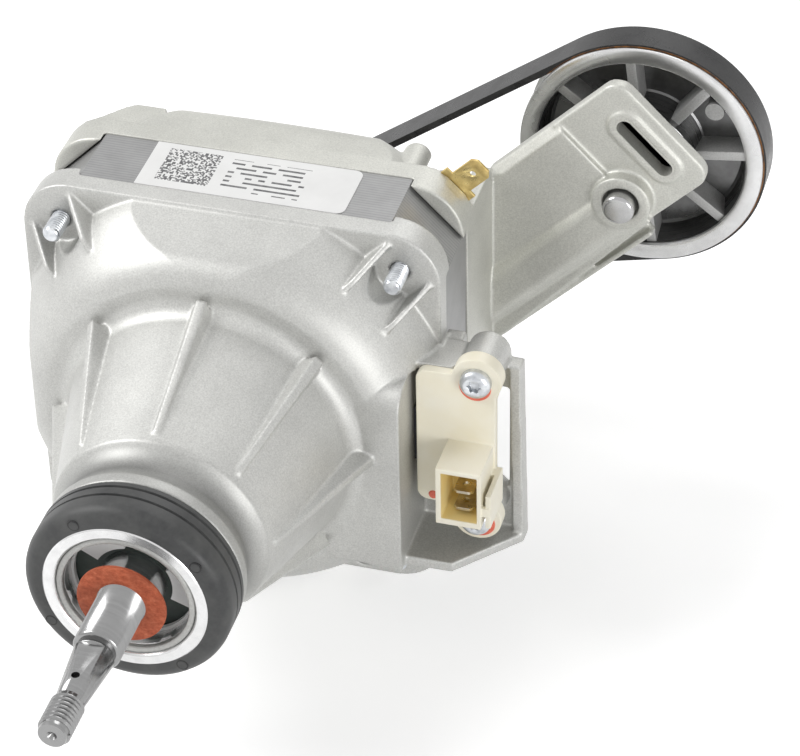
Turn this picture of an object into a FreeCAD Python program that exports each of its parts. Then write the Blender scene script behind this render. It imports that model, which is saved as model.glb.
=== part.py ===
import FreeCAD, Part
import math
import os

# Brushless dryer motor with a belt reduction, built in millimetres.
# The motor axis is the Y axis, the fan shaft points to -Y, Z is up.
# The origin is the middle of the rubber ring on the nose.

os.makedirs("parts", exist_ok=True)

# Main castings and stator
bolt_half_pitch = 43.0
casting_half = 53.0
corner_radius = 12.7
corner_centre = casting_half - corner_radius
front_flange_face = 77.4
stack_front = 83.0
stack_back = 102.0
front_lobe_end = 85.5
rear_lobe_start = 98.4
stack_half = 52.6
chamfer_sum = 92.0
lobe_gap = 0.4
dome_front = 58.2
dome_half_front = 47.4
dome_half_back = 52.2
wall = 3.8
rear_skirt = 6.0
rear_box_start = stack_back + rear_skirt
rear_box_depth = 17.5
box_rear = rear_box_start + rear_box_depth
box_rear_half = 49.4
box_rear_crown = 2.2
rear_boss_length = 16.0
rear_boss_end = box_rear + rear_boss_length

# Nose
lip_radius = 25.0
lip_back = 9.6
ring_back = 6.2
ring_front = -5.0
spigot_radius = 17.0
spigot_front = -4.8
sleeve_radius = 20.2
ring_radius = 25.3
mouth_radius = 15.4
mouth_depth = 5.0

# Ball bearings, front and rear of the rotor, then the two of the large pulley
rotor_bearing = {"bore": 6.0, "outer": 14.0, "width": 8.0, "ball": 2.35, "count": 8}
pulley_bearing = {"bore": 4.0, "outer": 11.0, "width": 7.0, "ball": 1.95, "count": 7}
front_bearing_start = mouth_depth
rear_bearing_start = 129.8
ball_clearance = 0.06
preload_gap = 1.2

# Shaft
shaft_radius = 6.0
fan_seat_radius = 5.8
shaft_shoulder = -24.2
flats_end = -41.2
shaft_tip = -52.5
flats_radius = 5.0
flats_half = 4.0
thread_radius = 4.0
shaft_end = 157.0
middle_radius = 8.5
shoulder_radius = 7.6
collar_radius = 8.0
collar_front = -6.5
washer_radius = 10.85
washer_thickness = 1.0
running_gap = 0.05

# Rotor and stator windings
bore_radius = 27.0
air_gap = 0.8
magnet_thickness = 4.2
rotor_front = 81.0
rotor_back = 104.0
tooth_count = 12
tooth_width = 6.0
slot_outer_radius = 42.0
insulator_rim = 2.4
cavity_radius = slot_outer_radius + insulator_rim + 0.6
tip_inner_depth = 2.2
insulator_thickness = 1.6
coil_turns_depth = 7.5
coil_inner = bore_radius + 5.2
coil_outer = slot_outer_radius - 1.6

# Belt drive
axle_x = 86.2
axle_z = 39.0
axle_radius = 4.0
axle_end_past_ring = 1.8
belt_past_boss = 4.9
belt_width = 8.7
belt_front = rear_boss_end + belt_past_boss
belt_back = belt_front + belt_width
belt_thickness = 1.72
motor_pulley_radius = 11.85
large_pulley_radius = 30.2
belt_clearance = 0.05
flange_step = 0.3
motor_flange_radius = 13.2
motor_pulley_front = belt_front - 2.0
motor_pulley_back = belt_back + 1.7
rim_radius = 31.2
rim_inner = 26.7
rim_width = 11.4
rim_front = belt_front - 1.2
rim_back = rim_front + rim_width
web_front = rim_back - 3.0
spoke_count = 8
spoke_angle = 7.5
drum_wheel_radius = 13.0
drum_wheel_length = 11.0
drum_wheel_start = rim_back + 1.4
drum_wheel_end = drum_wheel_start + drum_wheel_length
axle_ring_y = drum_wheel_end + 0.2
axle_back = axle_ring_y + axle_end_past_ring

# Arm, measured along its own length (u) and across it (v)
arm_upper = -7.8
arm_lower = -42.4
arm_end = 110.8
arm_lip = -46.0
arm_lip_end = 87.0
arm_step = 89.9
arm_past_box = 5.0
pad_thickness = 3.5
raised_height = 1.5
boss_height = 3.7
axle_head_height = 3.1
arm_lip_height = 4.1
arm_rib_height = 5.5
arm_back = box_rear + arm_past_box
pad_front = arm_back - pad_thickness
raised_front = pad_front - raised_height
boss_front = pad_front - boss_height
boss_back = rim_front - 4.2
axle_front = boss_front - axle_head_height
arm_lip_front = arm_back - arm_lip_height
boss_radius = 7.5
slot_u = 103.0
slot_v_a = -18.9
slot_v_b = -33.1
slot_width = 4.2

# Connector and its recess
recess_wall = 3.0
recess_x = cavity_radius + recess_wall
recess_top = 21.0
recess_floor = -31.0
shroud_right = 74.3
shroud_thickness = 2.8
plate_front = 78.2
shroud_back = 80.8
connector_front = 67.0
connector_side = recess_x + 2.0
connector_right = 69.3
connector_plate = 2.4
connector_back = 78.0
connector_top = 22.7
window_left = 63.4
window_right = 69.85
window_top = 12.3
window_low = -17.9
window_notch = -20.0
socket_front = 55.0
ear_thickness = 4.0
screw_x = 64.6
screw_top_z = 21.8
screw_low_z = -20.8
screw_radius = 2.0
screw_head_radius = 3.9

blade_heights = (-5.6, -10.8)
lead_heights = (-4.6, 0.0, 4.6)

# Bolts, posts, earth tab and small features
bolt_seat = 110.5
bolt_pocket_radius = 5.6
tip_pocket_radius = 6.4
bolt_boss_radius = 7.0
bolt_radius = 2.3
bolt_tip = 70.0
post_x = 35.4
post_end = 121.4
web_top = 50.0
tab_root = 69.3
tab_y = 107.2
cross_hole_y = -36.6

V = FreeCAD.Vector
AXIS = V(0, 1, 0)
ROOT_HALF = math.sqrt(0.5)


def save(name, shape):
    shape.exportStep("parts/" + name + ".step")


def group(solids):
    return Part.makeCompound(solids)


def cylinder(radius, y0, y1, x=0.0, z=0.0):
    return Part.makeCylinder(radius, y1 - y0, V(x, y0, z), AXIS)


def tube(outer, inner, y0, y1, x=0.0, z=0.0):
    return cylinder(outer, y0, y1, x, z).cut(cylinder(inner, y0 - 1, y1 + 1, x, z))


def box(x0, x1, y0, y1, z0, z1):
    return Part.makeBox(x1 - x0, y1 - y0, z1 - z0, V(x0, y0, z0))


def fuse(shapes):
    result = shapes[0]
    for shape in shapes[1:]:
        result = result.fuse(shape)
    return result.removeSplitter()


def cut_all(shape, tools):
    for tool in tools:
        shape = shape.cut(tool)
    return shape


def turned(shape, degrees, x=0.0, z=0.0):
    # a positive angle turns from +X towards +Z
    copy = shape.copy()
    copy.rotate(V(x, 0, z), AXIS, -degrees)
    return copy


def revolved(points):
    # points are (radius, y) pairs of a closed outline
    corners = [V(r, y, 0) for r, y in points]
    corners.append(corners[0])
    face = Part.Face(Part.makePolygon(corners))
    return face.revolve(V(0, 0, 0), AXIS, 360)


def prism(points, y0, y1):
    # points are (x, z) pairs of a closed outline
    corners = [V(x, y0, z) for x, z in points]
    corners.append(corners[0])
    return Part.Face(Part.makePolygon(corners)).extrude(V(0, y1 - y0, 0))


def edges_along_y(shape, x_range, z_range):
    found = []
    for edge in shape.Edges:
        a = edge.Vertexes[0].Point
        b = edge.Vertexes[-1].Point
        upright = abs(a.x - b.x) < 1e-6 and abs(a.z - b.z) < 1e-6 and abs(a.y - b.y) > 0.5
        if upright and x_range[0] <= a.x <= x_range[1] and z_range[0] <= a.z <= z_range[1]:
            found.append(edge)
    return found


def edges_at_y(shape, y):
    found = []
    for edge in shape.Edges:
        limits = edge.BoundBox
        if abs(limits.YMin - y) < 1e-4 and abs(limits.YMax - y) < 1e-4:
            found.append(edge)
    return found


def square_wire(half, radius, y, bulge=0.0):
    # bulge lifts the middle of each side, so a lofted side comes out slightly arched
    flat = half - radius
    mid = half - radius + radius * ROOT_HALF
    start = [(flat, half), (half, flat), (half, -flat), (flat, -half)]
    start = start + [(-flat, -half), (-half, -flat), (-half, flat), (-flat, half)]
    corner = [(mid, mid), (mid, -mid), (-mid, -mid), (-mid, mid)]
    crown = [(half + bulge, 0), (0, -half - bulge), (-half - bulge, 0), (0, half + bulge)]
    edges = []
    for k in range(4):
        a = V(start[2 * k][0], y, start[2 * k][1])
        b = V(start[2 * k + 1][0], y, start[2 * k + 1][1])
        c = V(start[(2 * k + 2) % 8][0], y, start[(2 * k + 2) % 8][1])
        edges.append(Part.Arc(a, V(corner[k][0], y, corner[k][1]), b).toShape())
        if bulge > 0:
            edges.append(Part.Arc(b, V(crown[k][0], y, crown[k][1]), c).toShape())
        else:
            edges.append(Part.makeLine(b, c))
    return Part.Wire(edges)


def rounded_square(half, radius, y0, y1):
    return Part.Face(square_wire(half, radius, y0)).extrude(V(0, y1 - y0, 0))


def tapered_square(half0, radius0, y0, half1, radius1, y1, bulge=0.0):
    wires = [square_wire(half0, radius0, y0, bulge / 100), square_wire(half1, radius1, y1, bulge)]
    return Part.makeLoft(wires, True, True)


def octagon(half, total, y0, y1):
    other = total - half
    points = [(half, other), (other, half), (-other, half), (-half, other)]
    points = points + [(-half, -other), (-other, -half), (other, -half), (half, -other)]
    return prism(points, y0, y1)


def four_corners(distance):
    return [(sx * distance, sz * distance) for sx in (-1, 1) for sz in (-1, 1)]


def rounded_bar(x0, z0, x1, z1, width, y0, y1):
    # a straight slot or bar with round ends between two points
    length = math.hypot(x1 - x0, z1 - z0)
    bar = Part.makeBox(length, y1 - y0, width, V(0, y0, -width / 2))
    bar = bar.fuse(cylinder(width / 2, y0, y1)).fuse(cylinder(width / 2, y0, y1, length, 0))
    bar = bar.removeSplitter()
    bar.rotate(V(0, 0, 0), AXIS, -math.degrees(math.atan2(z1 - z0, x1 - x0)))
    bar.translate(V(x0, 0, z0))
    return bar


# Corner lobes fill the space outside the chamfered corners of the stack
def corner_lobes(y0, y1):
    ring = rounded_square(casting_half, corner_radius, y0, y1)
    gap = lobe_gap * math.sqrt(2)
    return ring.cut(octagon(casting_half + 5, chamfer_sum + gap, y0 - 1, y1 + 1))


# Eight tapered gussets between the front face of the bell and its cone
def gusset():
    sections = []
    nose_end = (22.0, 28.0, 22.0, 0.8, 1.4)
    dome_end = (57.0, 41.2, 31.0, 1.2, 4.6)
    for y, top, base, half_top, half_base in (nose_end, dome_end):
        corners = [(base, -half_base), (top, -half_top), (top, half_top), (base, half_base)]
        points = [V(r, y, w) for r, w in corners]
        points.append(points[0])
        sections.append(Part.makePolygon(points))
    return Part.makeLoft(sections, True, True)


def cone_and_neck():
    line = []
    line.append(Part.makeLine(V(0, ring_back + 0.2, 0), V(lip_radius, ring_back + 0.2, 0)))
    line.append(Part.makeLine(V(lip_radius, ring_back + 0.2, 0), V(lip_radius, lip_back, 0)))
    line.append(Part.Arc(V(lip_radius, lip_back, 0), V(23.7, 13.6, 0), V(26.8, 19.6, 0)).toShape())
    line.append(Part.makeLine(V(26.8, 19.6, 0), V(35.6, 53.6, 0)))
    line.append(Part.Arc(V(35.6, 53.6, 0), V(37.0, 56.8, 0), V(40.0, dome_front, 0)).toShape())
    line.append(Part.makeLine(V(40.0, dome_front, 0), V(40.0, dome_front + 4, 0)))
    line.append(Part.makeLine(V(40.0, dome_front + 4, 0), V(0, dome_front + 4, 0)))
    line.append(Part.makeLine(V(0, dome_front + 4, 0), V(0, ring_back + 0.2, 0)))
    return Part.Face(Part.Wire(line)).revolve(V(0, 0, 0), AXIS, 360)


def connector_shroud():
    floor_z = recess_floor - shroud_thickness
    outline = [(recess_x - 8, 60.0), (60.0, 60.4), (shroud_right - 1.0, 75.2), (shroud_right, 76.6)]
    outline = outline + [(shroud_right, shroud_back), (recess_x - 8, shroud_back)]
    corners = [V(x, y, floor_z) for x, y in outline]
    corners.append(corners[0])
    floor = Part.Face(Part.makePolygon(corners)).extrude(V(0, 0, shroud_thickness))
    low = shroud_right - shroud_thickness
    side = prism([(low, floor_z), (shroud_right, floor_z), (shroud_right - 1.2, recess_top - 0.5),
                  (low - 1.2, recess_top - 0.5)], 76.0, shroud_back)
    back = box(recess_x, shroud_right - 1.5, plate_front, shroud_back, floor_z, recess_top - 0.5)
    window = box(window_left, window_right, plate_front - 1, shroud_back + 1, window_low, window_top)
    notch = box(window_right - 1.2, window_right, plate_front - 1, shroud_back + 1, window_notch, 0)
    back = back.cut(window).cut(notch)
    web = box(recess_x - 1, recess_x + 9.5, shroud_back - 0.5, 85.0, floor_z, recess_top + 1.4)
    bosses = [cylinder(5.2, connector_front + ear_thickness, shroud_back, screw_x, z)
              for z in (screw_top_z, screw_low_z)]
    shelf_front = connector_front + connector_plate + 0.2
    shelf = box(recess_x - 1, screw_x, shelf_front, shroud_back, recess_top - 0.1, connector_top)
    shelf = shelf.cut(cylinder(6.4, shelf_front - 1, connector_front + ear_thickness, screw_x, screw_top_z))
    return fuse([floor, side, back, web, shelf] + bosses)


# Step in the dome and flange that the top of the connector block sits in
def connector_step():
    side = connector_side - 0.8
    step_back = connector_front + connector_plate + 0.2
    return box(side, 90, connector_front - 7, step_back, recess_top - 1, connector_top + 0.3)


# Fills the dome out to the flat side face of the connector recess
def connector_cheek():
    low = recess_floor - shroud_thickness
    outline = [(30.0, dome_front), (36.0, dome_front), (recess_x, dome_front - 1.2)]
    outline = outline + [(recess_x, stack_front - 0.5), (30.0, stack_front - 0.5)]
    corners = [V(x, y, low) for x, y in outline]
    corners.append(corners[0])
    solid = Part.Face(Part.makePolygon(corners)).extrude(V(0, 0, recess_top - low))
    top = []
    for edge in solid.Edges:
        if edge.BoundBox.ZMin > recess_top - 0.01 and edge.BoundBox.YMax < dome_front + 0.01:
            top.append(edge)
    return solid.makeFillet(6.0, top)


# Round limit of the dome, so that it falls away towards the bolt corners
def bowl():
    outline = [V(43.0, dome_front, 0), V(48.0, 60.9, 0), V(51.6, 65.4, 0)]
    outline = outline + [V(54.4, 70.2, 0), V(56.6, 75.0, 0), V(57.4, front_flange_face + 0.6, 0)]
    curve = Part.BSplineCurve()
    curve.interpolate(outline)
    back = front_flange_face + 0.6
    lines = [curve.toShape(), Part.makeLine(outline[-1], V(0, back, 0))]
    lines.append(Part.makeLine(V(0, back, 0), V(0, dome_front, 0)))
    lines.append(Part.makeLine(V(0, dome_front, 0), outline[0]))
    return Part.Face(Part.Wire(lines)).revolve(V(0, 0, 0), AXIS, 360)


# Pocket in the dome round the tip of a through bolt, open towards the corner
def bolt_pocket():
    reach = bolt_half_pitch / ROOT_HALF
    start = front_flange_face - 40
    notch = box(reach, reach + 30, start, front_flange_face, -tip_pocket_radius, tip_pocket_radius)
    return cylinder(tip_pocket_radius, start, front_flange_face, reach).fuse(notch)


# Thin sloping plates on both sides of a pocket
def pocket_plates():
    reach = bolt_half_pitch / ROOT_HALF
    foot = front_flange_face + 0.5
    outline = [(reach - 11.0, foot), (reach - 11.0, 66.0), (reach - 5.0, 68.5), (reach + 4.6, foot)]
    corners = [V(u, y, tip_pocket_radius) for u, y in outline]
    corners.append(corners[0])
    plate = Part.Face(Part.makePolygon(corners)).extrude(V(0, 0, 1.5))
    return [plate, plate.mirror(V(0, 0, 0), V(0, 0, 1))]


# Front casting: flange, dome, ribbed cone, neck, nose spigot and connector recess
def front_housing():
    flange = rounded_square(casting_half, corner_radius, front_flange_face, stack_front)
    flange = flange.fuse(corner_lobes(stack_front - 0.5, front_lobe_end))
    back_end = (dome_half_back, 12.4, front_flange_face + 0.5)
    dome = tapered_square(dome_half_front, 13.0, dome_front, *back_end)
    dome = dome.makeFillet(7.5, edges_at_y(dome, dome_front)).common(bowl())
    pockets = [turned(bolt_pocket(), 45 + 90 * k) for k in range(4)]
    plates = [turned(plate, 45 + 90 * k) for plate in pocket_plates() for k in range(4)]
    dome = cut_all(dome, pockets)
    cheek = connector_cheek()
    ribs = [turned(gusset(), 45 * k) for k in range(8)]
    spigot = cylinder(spigot_radius, spigot_front, ring_back + 1.0)
    solid = fuse([flange, dome, cheek, cone_and_neck(), spigot] + ribs + plates)
    recess = box(recess_x, 90, 40, stack_front - 1, recess_floor, recess_top)
    solid = solid.cut(recess).cut(connector_step()).fuse(connector_shroud())
    stack_room = octagon(stack_half + 0.3, chamfer_sum + 0.5, stack_front, 120)
    solid = solid.cut(stack_room)
    room_end = dome_front + wall
    inside = [cylinder(cavity_radius, room_end, stack_front + 1)]
    inside.append(revolved([(0, 14), (12, 15), (19, 22), (31, room_end), (0, room_end)]))
    inside.append(cylinder(rotor_bearing["outer"], 0, front_bearing_start + rotor_bearing["width"]))
    inside.append(cylinder(10.5, 12, 16))
    inside.append(cylinder(mouth_radius, spigot_front - 1, mouth_depth))
    for x, z in four_corners(bolt_half_pitch):
        inside.append(cylinder(2.4, front_flange_face - 5, front_lobe_end + 1, x, z))
    for z in (screw_top_z, screw_low_z):
        inside.append(cylinder(screw_radius, 60, 90, screw_x, z))
    inside.append(box(cavity_radius - 4, recess_x + 1, 70.6, 75.4, -8, 8))
    return cut_all(solid, inside).removeSplitter()


def from_arm(u, v):
    # arm coordinates run along 45 degrees up and to the right
    return ((u - v) * ROOT_HALF, (u + v) * ROOT_HALF)


def arm_prism(points, y0, y1):
    return prism([from_arm(u, v) for u, v in points], y0, y1)


def arm_bar(u0, u1, v0, v1, y0, y1):
    return arm_prism([(u0, v0), (u1, v0), (u1, v1), (u0, v1)], y0, y1)


def middle_u(edge):
    centre = edge.BoundBox.Center
    return (centre.x + centre.z) * ROOT_HALF


def middle_v(edge):
    centre = edge.BoundBox.Center
    return (centre.z - centre.x) * ROOT_HALF


def on_front(edge, y):
    return abs(edge.BoundBox.YMin - y) < 0.01 and abs(edge.BoundBox.YMax - y) < 0.01


# Cast arm that carries the axle of the large pulley
def pulley_arm():
    root = [(52.0, arm_upper - 4.0), (66.0, arm_upper), (arm_step, arm_upper)]
    root = root + [(arm_step, arm_lower), (33.0, arm_lower - 3.2), (26.0, arm_lower + 6.0)]
    raised = arm_prism(root, raised_front, arm_back)
    upper = [e for e in raised.Edges if on_front(e, raised_front) and middle_v(e) > arm_upper - 3]
    raised = raised.makeChamfer(2.4, upper)
    pad = arm_bar(arm_step - 2, arm_end, arm_lower, arm_upper, pad_front, arm_back)
    far = [e for e in pad.Edges if e.BoundBox.YLength > 3 and middle_u(e) > arm_end - 1]
    pad = pad.makeFillet(4.5, far)
    rim_edges = [e for e in pad.Edges if on_front(e, pad_front) and middle_u(e) > arm_step]
    pad = pad.makeFillet(0.8, rim_edges)
    beam = arm_bar(30.0, arm_step - 1.0, arm_lower, arm_lower + 14.6, boss_front + 0.4, arm_back)
    long_edges = [e for e in beam.Edges if on_front(e, boss_front + 0.4) and e.Length > 30]
    beam = beam.makeFillet(5.0, long_edges)
    rib_back = arm_back + arm_rib_height
    upper_rib = arm_bar(66.0, 100.0, arm_upper - 6.0, arm_upper - 3.0, arm_back - 1, rib_back)
    lower_rib = arm_bar(36.0, 100.0, arm_lower, arm_lower + 3.0, arm_back - 1, rib_back)
    trough = arm_bar(31.0, arm_lip_end, arm_lip, arm_lower + 1.0, arm_back - 1.8, arm_back)
    lip = arm_bar(31.0, arm_lip_end, arm_lip, arm_lip + 1.4, arm_lip_front, arm_back)
    boss = cylinder(boss_radius, boss_front, boss_back, axle_x, axle_z)
    high = from_arm(slot_u, slot_v_a)
    low = from_arm(slot_u, slot_v_b)
    rim = rounded_bar(*high, *low, slot_width + 4.4, pad_front - 0.7, arm_back)
    arm = fuse([raised, pad, beam, trough, lip, upper_rib, lower_rib, boss, rim])
    slot = rounded_bar(*high, *low, slot_width, pad_front - 3, arm_back + 3)
    bore = cylinder(axle_radius, boss_front - 5, boss_back + 5, axle_x, axle_z)
    counterbore = cylinder(axle_radius + 0.6, boss_front - 1, boss_front + 2.5, axle_x, axle_z)
    return cut_all(arm, [slot, bore, counterbore])


# Flat on the upper right corner with the slot of the earth tab
def tab_flat():
    block = Part.makeBox(40, 10.0, 20, V(-20, tab_y - 3.5, 0))
    block.translate(V(0, 0, tab_root))
    block.rotate(V(0, 0, 0), AXIS, 45)
    return block


# Web between the upper left corner of the rear flange and the wide post
def corner_web():
    outline = [(-50.6, 103.0), (-49.0, 108.6), (-45.2, 112.4), (-40.4, 118.4), (-38.0, post_end - 1.2)]
    outline = outline + [(-30.0, post_end - 1.2), (-30.0, 103.0)]
    corners = [V(x, y, 40.0) for x, y in outline]
    corners.append(corners[0])
    web = Part.Face(Part.makePolygon(corners)).extrude(V(0, 0, web_top - 40.0))
    web = web.common(rounded_square(casting_half - 0.2, corner_radius, 100.0, 124.0))
    shank = cylinder(2.6, 100.0, bolt_seat + 1, -bolt_half_pitch, bolt_half_pitch)
    pocket = cylinder(bolt_pocket_radius, bolt_seat, 160.0, -bolt_half_pitch, bolt_half_pitch)
    return web.cut(shank).cut(pocket)


# Rear casting: box, bearing boss, posts, bolt seats and the arm
def rear_housing():
    body = rounded_square(casting_half, corner_radius, stack_back, rear_box_start)
    rear_end = (box_rear_half, 14.0, box_rear, box_rear_crown)
    tail = tapered_square(casting_half, corner_radius, rear_box_start, *rear_end)
    tail = tail.makeFillet(11.5, edges_at_y(tail, box_rear))
    arc = Part.Arc(V(62.5, 104.0, 0), V(59.4, 115.5, 0), V(50.0, box_rear + 1, 0)).toShape()
    lines = [arc, Part.makeLine(V(50.0, box_rear + 1, 0), V(0, box_rear + 1, 0))]
    lines.append(Part.makeLine(V(0, box_rear + 1, 0), V(0, 104.0, 0)))
    lines.append(Part.makeLine(V(0, 104.0, 0), V(62.5, 104.0, 0)))
    body = body.fuse(tail.common(Part.Face(Part.Wire(lines)).revolve(V(0, 0, 0), AXIS, 360)))
    lobes = corner_lobes(rear_lobe_start, stack_back + 0.5)
    bearing_boss = cylinder(20.0, box_rear - 4, rear_boss_end)
    bearing_boss = bearing_boss.makeFillet(2.0, edges_at_y(bearing_boss, rear_boss_end))
    limit = rounded_square(casting_half - 0.2, corner_radius, 100.0, 120.0)
    seats = []
    for x, z in four_corners(bolt_half_pitch):
        seats.append(cylinder(bolt_boss_radius, 104.0, bolt_seat, x, z).common(limit))
    wide_post = cylinder(6.2, 104.0, post_end, -post_x + 1.3, 43.4)
    slim_post = cylinder(3.6, 104.0, post_end, post_x, 46.9)
    posts = [post.makeFillet(1.2, edges_at_y(post, post_end)) for post in (wide_post, slim_post)]
    root_block = box(38.0, casting_half, rear_box_start, box_rear, -9.0, 43.0)
    solid = fuse([body, lobes, bearing_boss, root_block] + seats + posts)
    solid = solid.cut(tab_flat()).fuse(pulley_arm())
    inside = [cylinder(cavity_radius, rear_lobe_start - 1, box_rear - wall)]
    seat = rotor_bearing["outer"]
    seat_end = rear_bearing_start + rotor_bearing["width"] + preload_gap
    inside.append(cylinder(seat, box_rear - wall - 1, seat_end))
    inside.append(cylinder(9.0, seat_end - 1, rear_boss_end + 1))
    for x, z in four_corners(bolt_half_pitch):
        inside.append(cylinder(2.6, rear_lobe_start - 1, bolt_seat + 1, x, z))
        inside.append(cylinder(bolt_pocket_radius, bolt_seat, 160.0, x, z))
    inside.append(earth_tab())
    return cut_all(solid, inside).fuse(corner_web()).removeSplitter()


# Brass blade standing out of the corner, one flat stamping
def earth_tab():
    foot = box(-5.0, 5.0, tab_y, tab_y + 0.8, tab_root - 3.0, tab_root + 1.4)
    blade = box(-3.15, 3.15, tab_y, tab_y + 0.8, tab_root, tab_root + 9.4)
    tip = [e for e in blade.Edges if e.BoundBox.YLength > 0.5 and e.BoundBox.ZMin > tab_root + 9]
    blade = blade.makeChamfer(1.3, tip)
    tab = foot.fuse(blade).removeSplitter()
    tab = tab.cut(cylinder(0.8, tab_y - 1, tab_y + 2, 0, tab_root + 5.6))
    tab.rotate(V(0, 0, 0), AXIS, 45)
    return tab


# Laminated square stack with twelve teeth and four bolt holes
def stator_core():
    solid = octagon(stack_half, chamfer_sum, stack_front, stack_back)
    ring = tube(slot_outer_radius, bore_radius, stack_front - 1, stack_back + 1)
    low = stack_front - 2
    high = stack_back + 2
    half = tooth_width / 2
    tooth = box(bore_radius - 1, slot_outer_radius + 1, low, high, -half, half)
    tip = tube(bore_radius + tip_inner_depth, bore_radius, low, high)
    half_tip = math.radians(360.0 / tooth_count / 2 - 2.0)
    reach = 60.0
    edge_z = reach * math.tan(half_tip)
    sector = prism([(0, 0), (reach, -edge_z), (reach, edge_z)], stack_front - 3, stack_back + 3)
    tip = tip.common(sector)
    teeth = []
    for k in range(tooth_count):
        angle = 360.0 / tooth_count * k
        teeth.append(turned(tooth, angle))
        teeth.append(turned(tip, angle))
    ring = cut_all(ring, teeth)
    solid = solid.cut(cylinder(bore_radius, stack_front - 1, stack_back + 1)).cut(ring)
    holes = []
    for x, z in four_corners(bolt_half_pitch):
        holes.append(cylinder(2.6, stack_front - 1, stack_back + 1, x, z))
    return cut_all(solid, holes).removeSplitter()


# Plastic end caps that keep the wire off the laminations
def insulator(y0, y1):
    rim = tube(slot_outer_radius + insulator_rim, slot_outer_radius - 1.2, y0, y1)
    half = tooth_width / 2
    finger = box(bore_radius + 0.8, slot_outer_radius, y0, y1, -half, half)
    fingers = [turned(finger, 360.0 / tooth_count * k) for k in range(tooth_count)]
    return fuse([rim] + fingers)


def stator_insulators():
    front_cap = insulator(stack_front - insulator_thickness, stack_front)
    rear_cap = insulator(stack_back, stack_back + insulator_thickness)
    return group([front_cap, rear_cap])


# One copper coil on each tooth
def stator_coils():
    inner_half = tooth_width / 2 + 0.15
    outer_half = inner_half + 2.9
    y0 = stack_front - insulator_thickness - 0.1
    y1 = stack_back + insulator_thickness + 0.1
    depth = coil_turns_depth - insulator_thickness
    block = box(coil_inner, coil_outer, y0 - depth, y1 + depth, -outer_half, outer_half)
    block = block.makeFillet(2.2, [e for e in block.Edges if e.BoundBox.XLength > 1])
    coil = block.cut(box(coil_inner - 2, coil_outer + 4, y0, y1, -inner_half, inner_half))
    return group([turned(coil, 360.0 / tooth_count * k) for k in range(tooth_count)])


def magnet_outer():
    return bore_radius - air_gap


# Laminated rotor core with lightening holes
def rotor_core():
    solid = tube(magnet_outer() - magnet_thickness, middle_radius, rotor_front, rotor_back)
    holes = []
    for k in range(6):
        hole = cylinder(2.6, rotor_front - 1, rotor_back + 1, 15.2, 0)
        holes.append(turned(hole, 60 * k))
    return cut_all(solid, holes)


# Eight curved magnets round the rotor core
def rotor_magnets():
    ring = tube(magnet_outer(), magnet_outer() - magnet_thickness, rotor_front, rotor_back)
    edge_z = 40.0 * math.tan(math.radians(21.5))
    sector = prism([(0, 0), (40.0, -edge_z), (40.0, edge_z)], rotor_front - 1, rotor_back + 1)
    magnet = ring.common(sector)
    return group([turned(magnet, 45 * k) for k in range(8)])


# Steel shaft: fan end with flats and thread, two bearing seats, pulley end
def rotor_shaft():
    bearing_end = front_bearing_start + rotor_bearing["width"]
    outline = [(0, shaft_tip), (thread_radius - 0.7, shaft_tip), (thread_radius, shaft_tip + 0.7)]
    outline = outline + [(thread_radius, flats_end), (flats_radius, flats_end)]
    outline = outline + [(flats_radius, shaft_shoulder - 1.6), (flats_radius - 0.5, shaft_shoulder - 1.2)]
    outline = outline + [(flats_radius - 0.5, shaft_shoulder), (fan_seat_radius - 0.5, shaft_shoulder)]
    seat_end = collar_front - washer_thickness
    outline = outline + [(fan_seat_radius, shaft_shoulder + 0.6), (fan_seat_radius, seat_end)]
    outline = outline + [(shaft_radius, seat_end), (shaft_radius, bearing_end)]
    outline = outline + [(shoulder_radius, bearing_end), (shoulder_radius, 60.0), (middle_radius, 61.0)]
    outline = outline + [(middle_radius, rotor_back + 2), (shoulder_radius, rotor_back + 3)]
    outline = outline + [(shoulder_radius, rear_bearing_start), (shaft_radius, rear_bearing_start)]
    outline = outline + [(shaft_radius, shaft_end - 0.6), (shaft_radius - 0.6, shaft_end), (0, shaft_end)]
    solid = revolved(outline)
    for side in (-1, 1):
        z0 = flats_half if side > 0 else -flats_half - 4
        solid = solid.cut(box(-8, 8, flats_end - 0.01, shaft_shoulder - 2.0, z0, z0 + 4))
    hole = Part.makeCylinder(1.0, 12, V(0, cross_hole_y, -6), V(0, 0, 1))
    dimple = Part.makeCone(1.2, 0.01, 1.6, V(0, shaft_tip, 0), AXIS)
    return cut_all(solid, [hole, dimple])


# Ball bearing made of outer ring, inner ring, and balls with their cage
def bearing_outer(spec, y0):
    pitch = (spec["bore"] + spec["outer"]) / 2
    ring = tube(spec["outer"], pitch + 0.62 * spec["ball"], y0, y0 + spec["width"])
    return ring.cut(bearing_groove(spec, y0))


def bearing_inner(spec, y0):
    pitch = (spec["bore"] + spec["outer"]) / 2
    ring = tube(pitch - 0.62 * spec["ball"], spec["bore"], y0, y0 + spec["width"])
    return ring.cut(bearing_groove(spec, y0))


def bearing_groove(spec, y0):
    pitch = (spec["bore"] + spec["outer"]) / 2
    return Part.makeTorus(pitch, spec["ball"] + ball_clearance, V(0, y0 + spec["width"] / 2, 0), AXIS)


def bearing_balls(spec, y0):
    pitch = (spec["bore"] + spec["outer"]) / 2
    mid = y0 + spec["width"] / 2
    cage = tube(pitch + 0.45, pitch - 0.45, mid - 1.5, mid + 1.5)
    balls = []
    for k in range(spec["count"]):
        angle = 2 * math.pi * k / spec["count"]
        centre = V(pitch * math.cos(angle), mid, pitch * math.sin(angle))
        balls.append(Part.makeSphere(spec["ball"], centre))
        cage = cage.cut(Part.makeSphere(spec["ball"] + 0.05, centre))
    return balls + cage.Solids


# Wave washer that pushes the rear bearing forward
def preload_washer():
    y0 = rear_bearing_start + rotor_bearing["width"] + 0.05
    return tube(13.6, 11.8, y0 + 0.3, y0 + 0.9)


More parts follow.
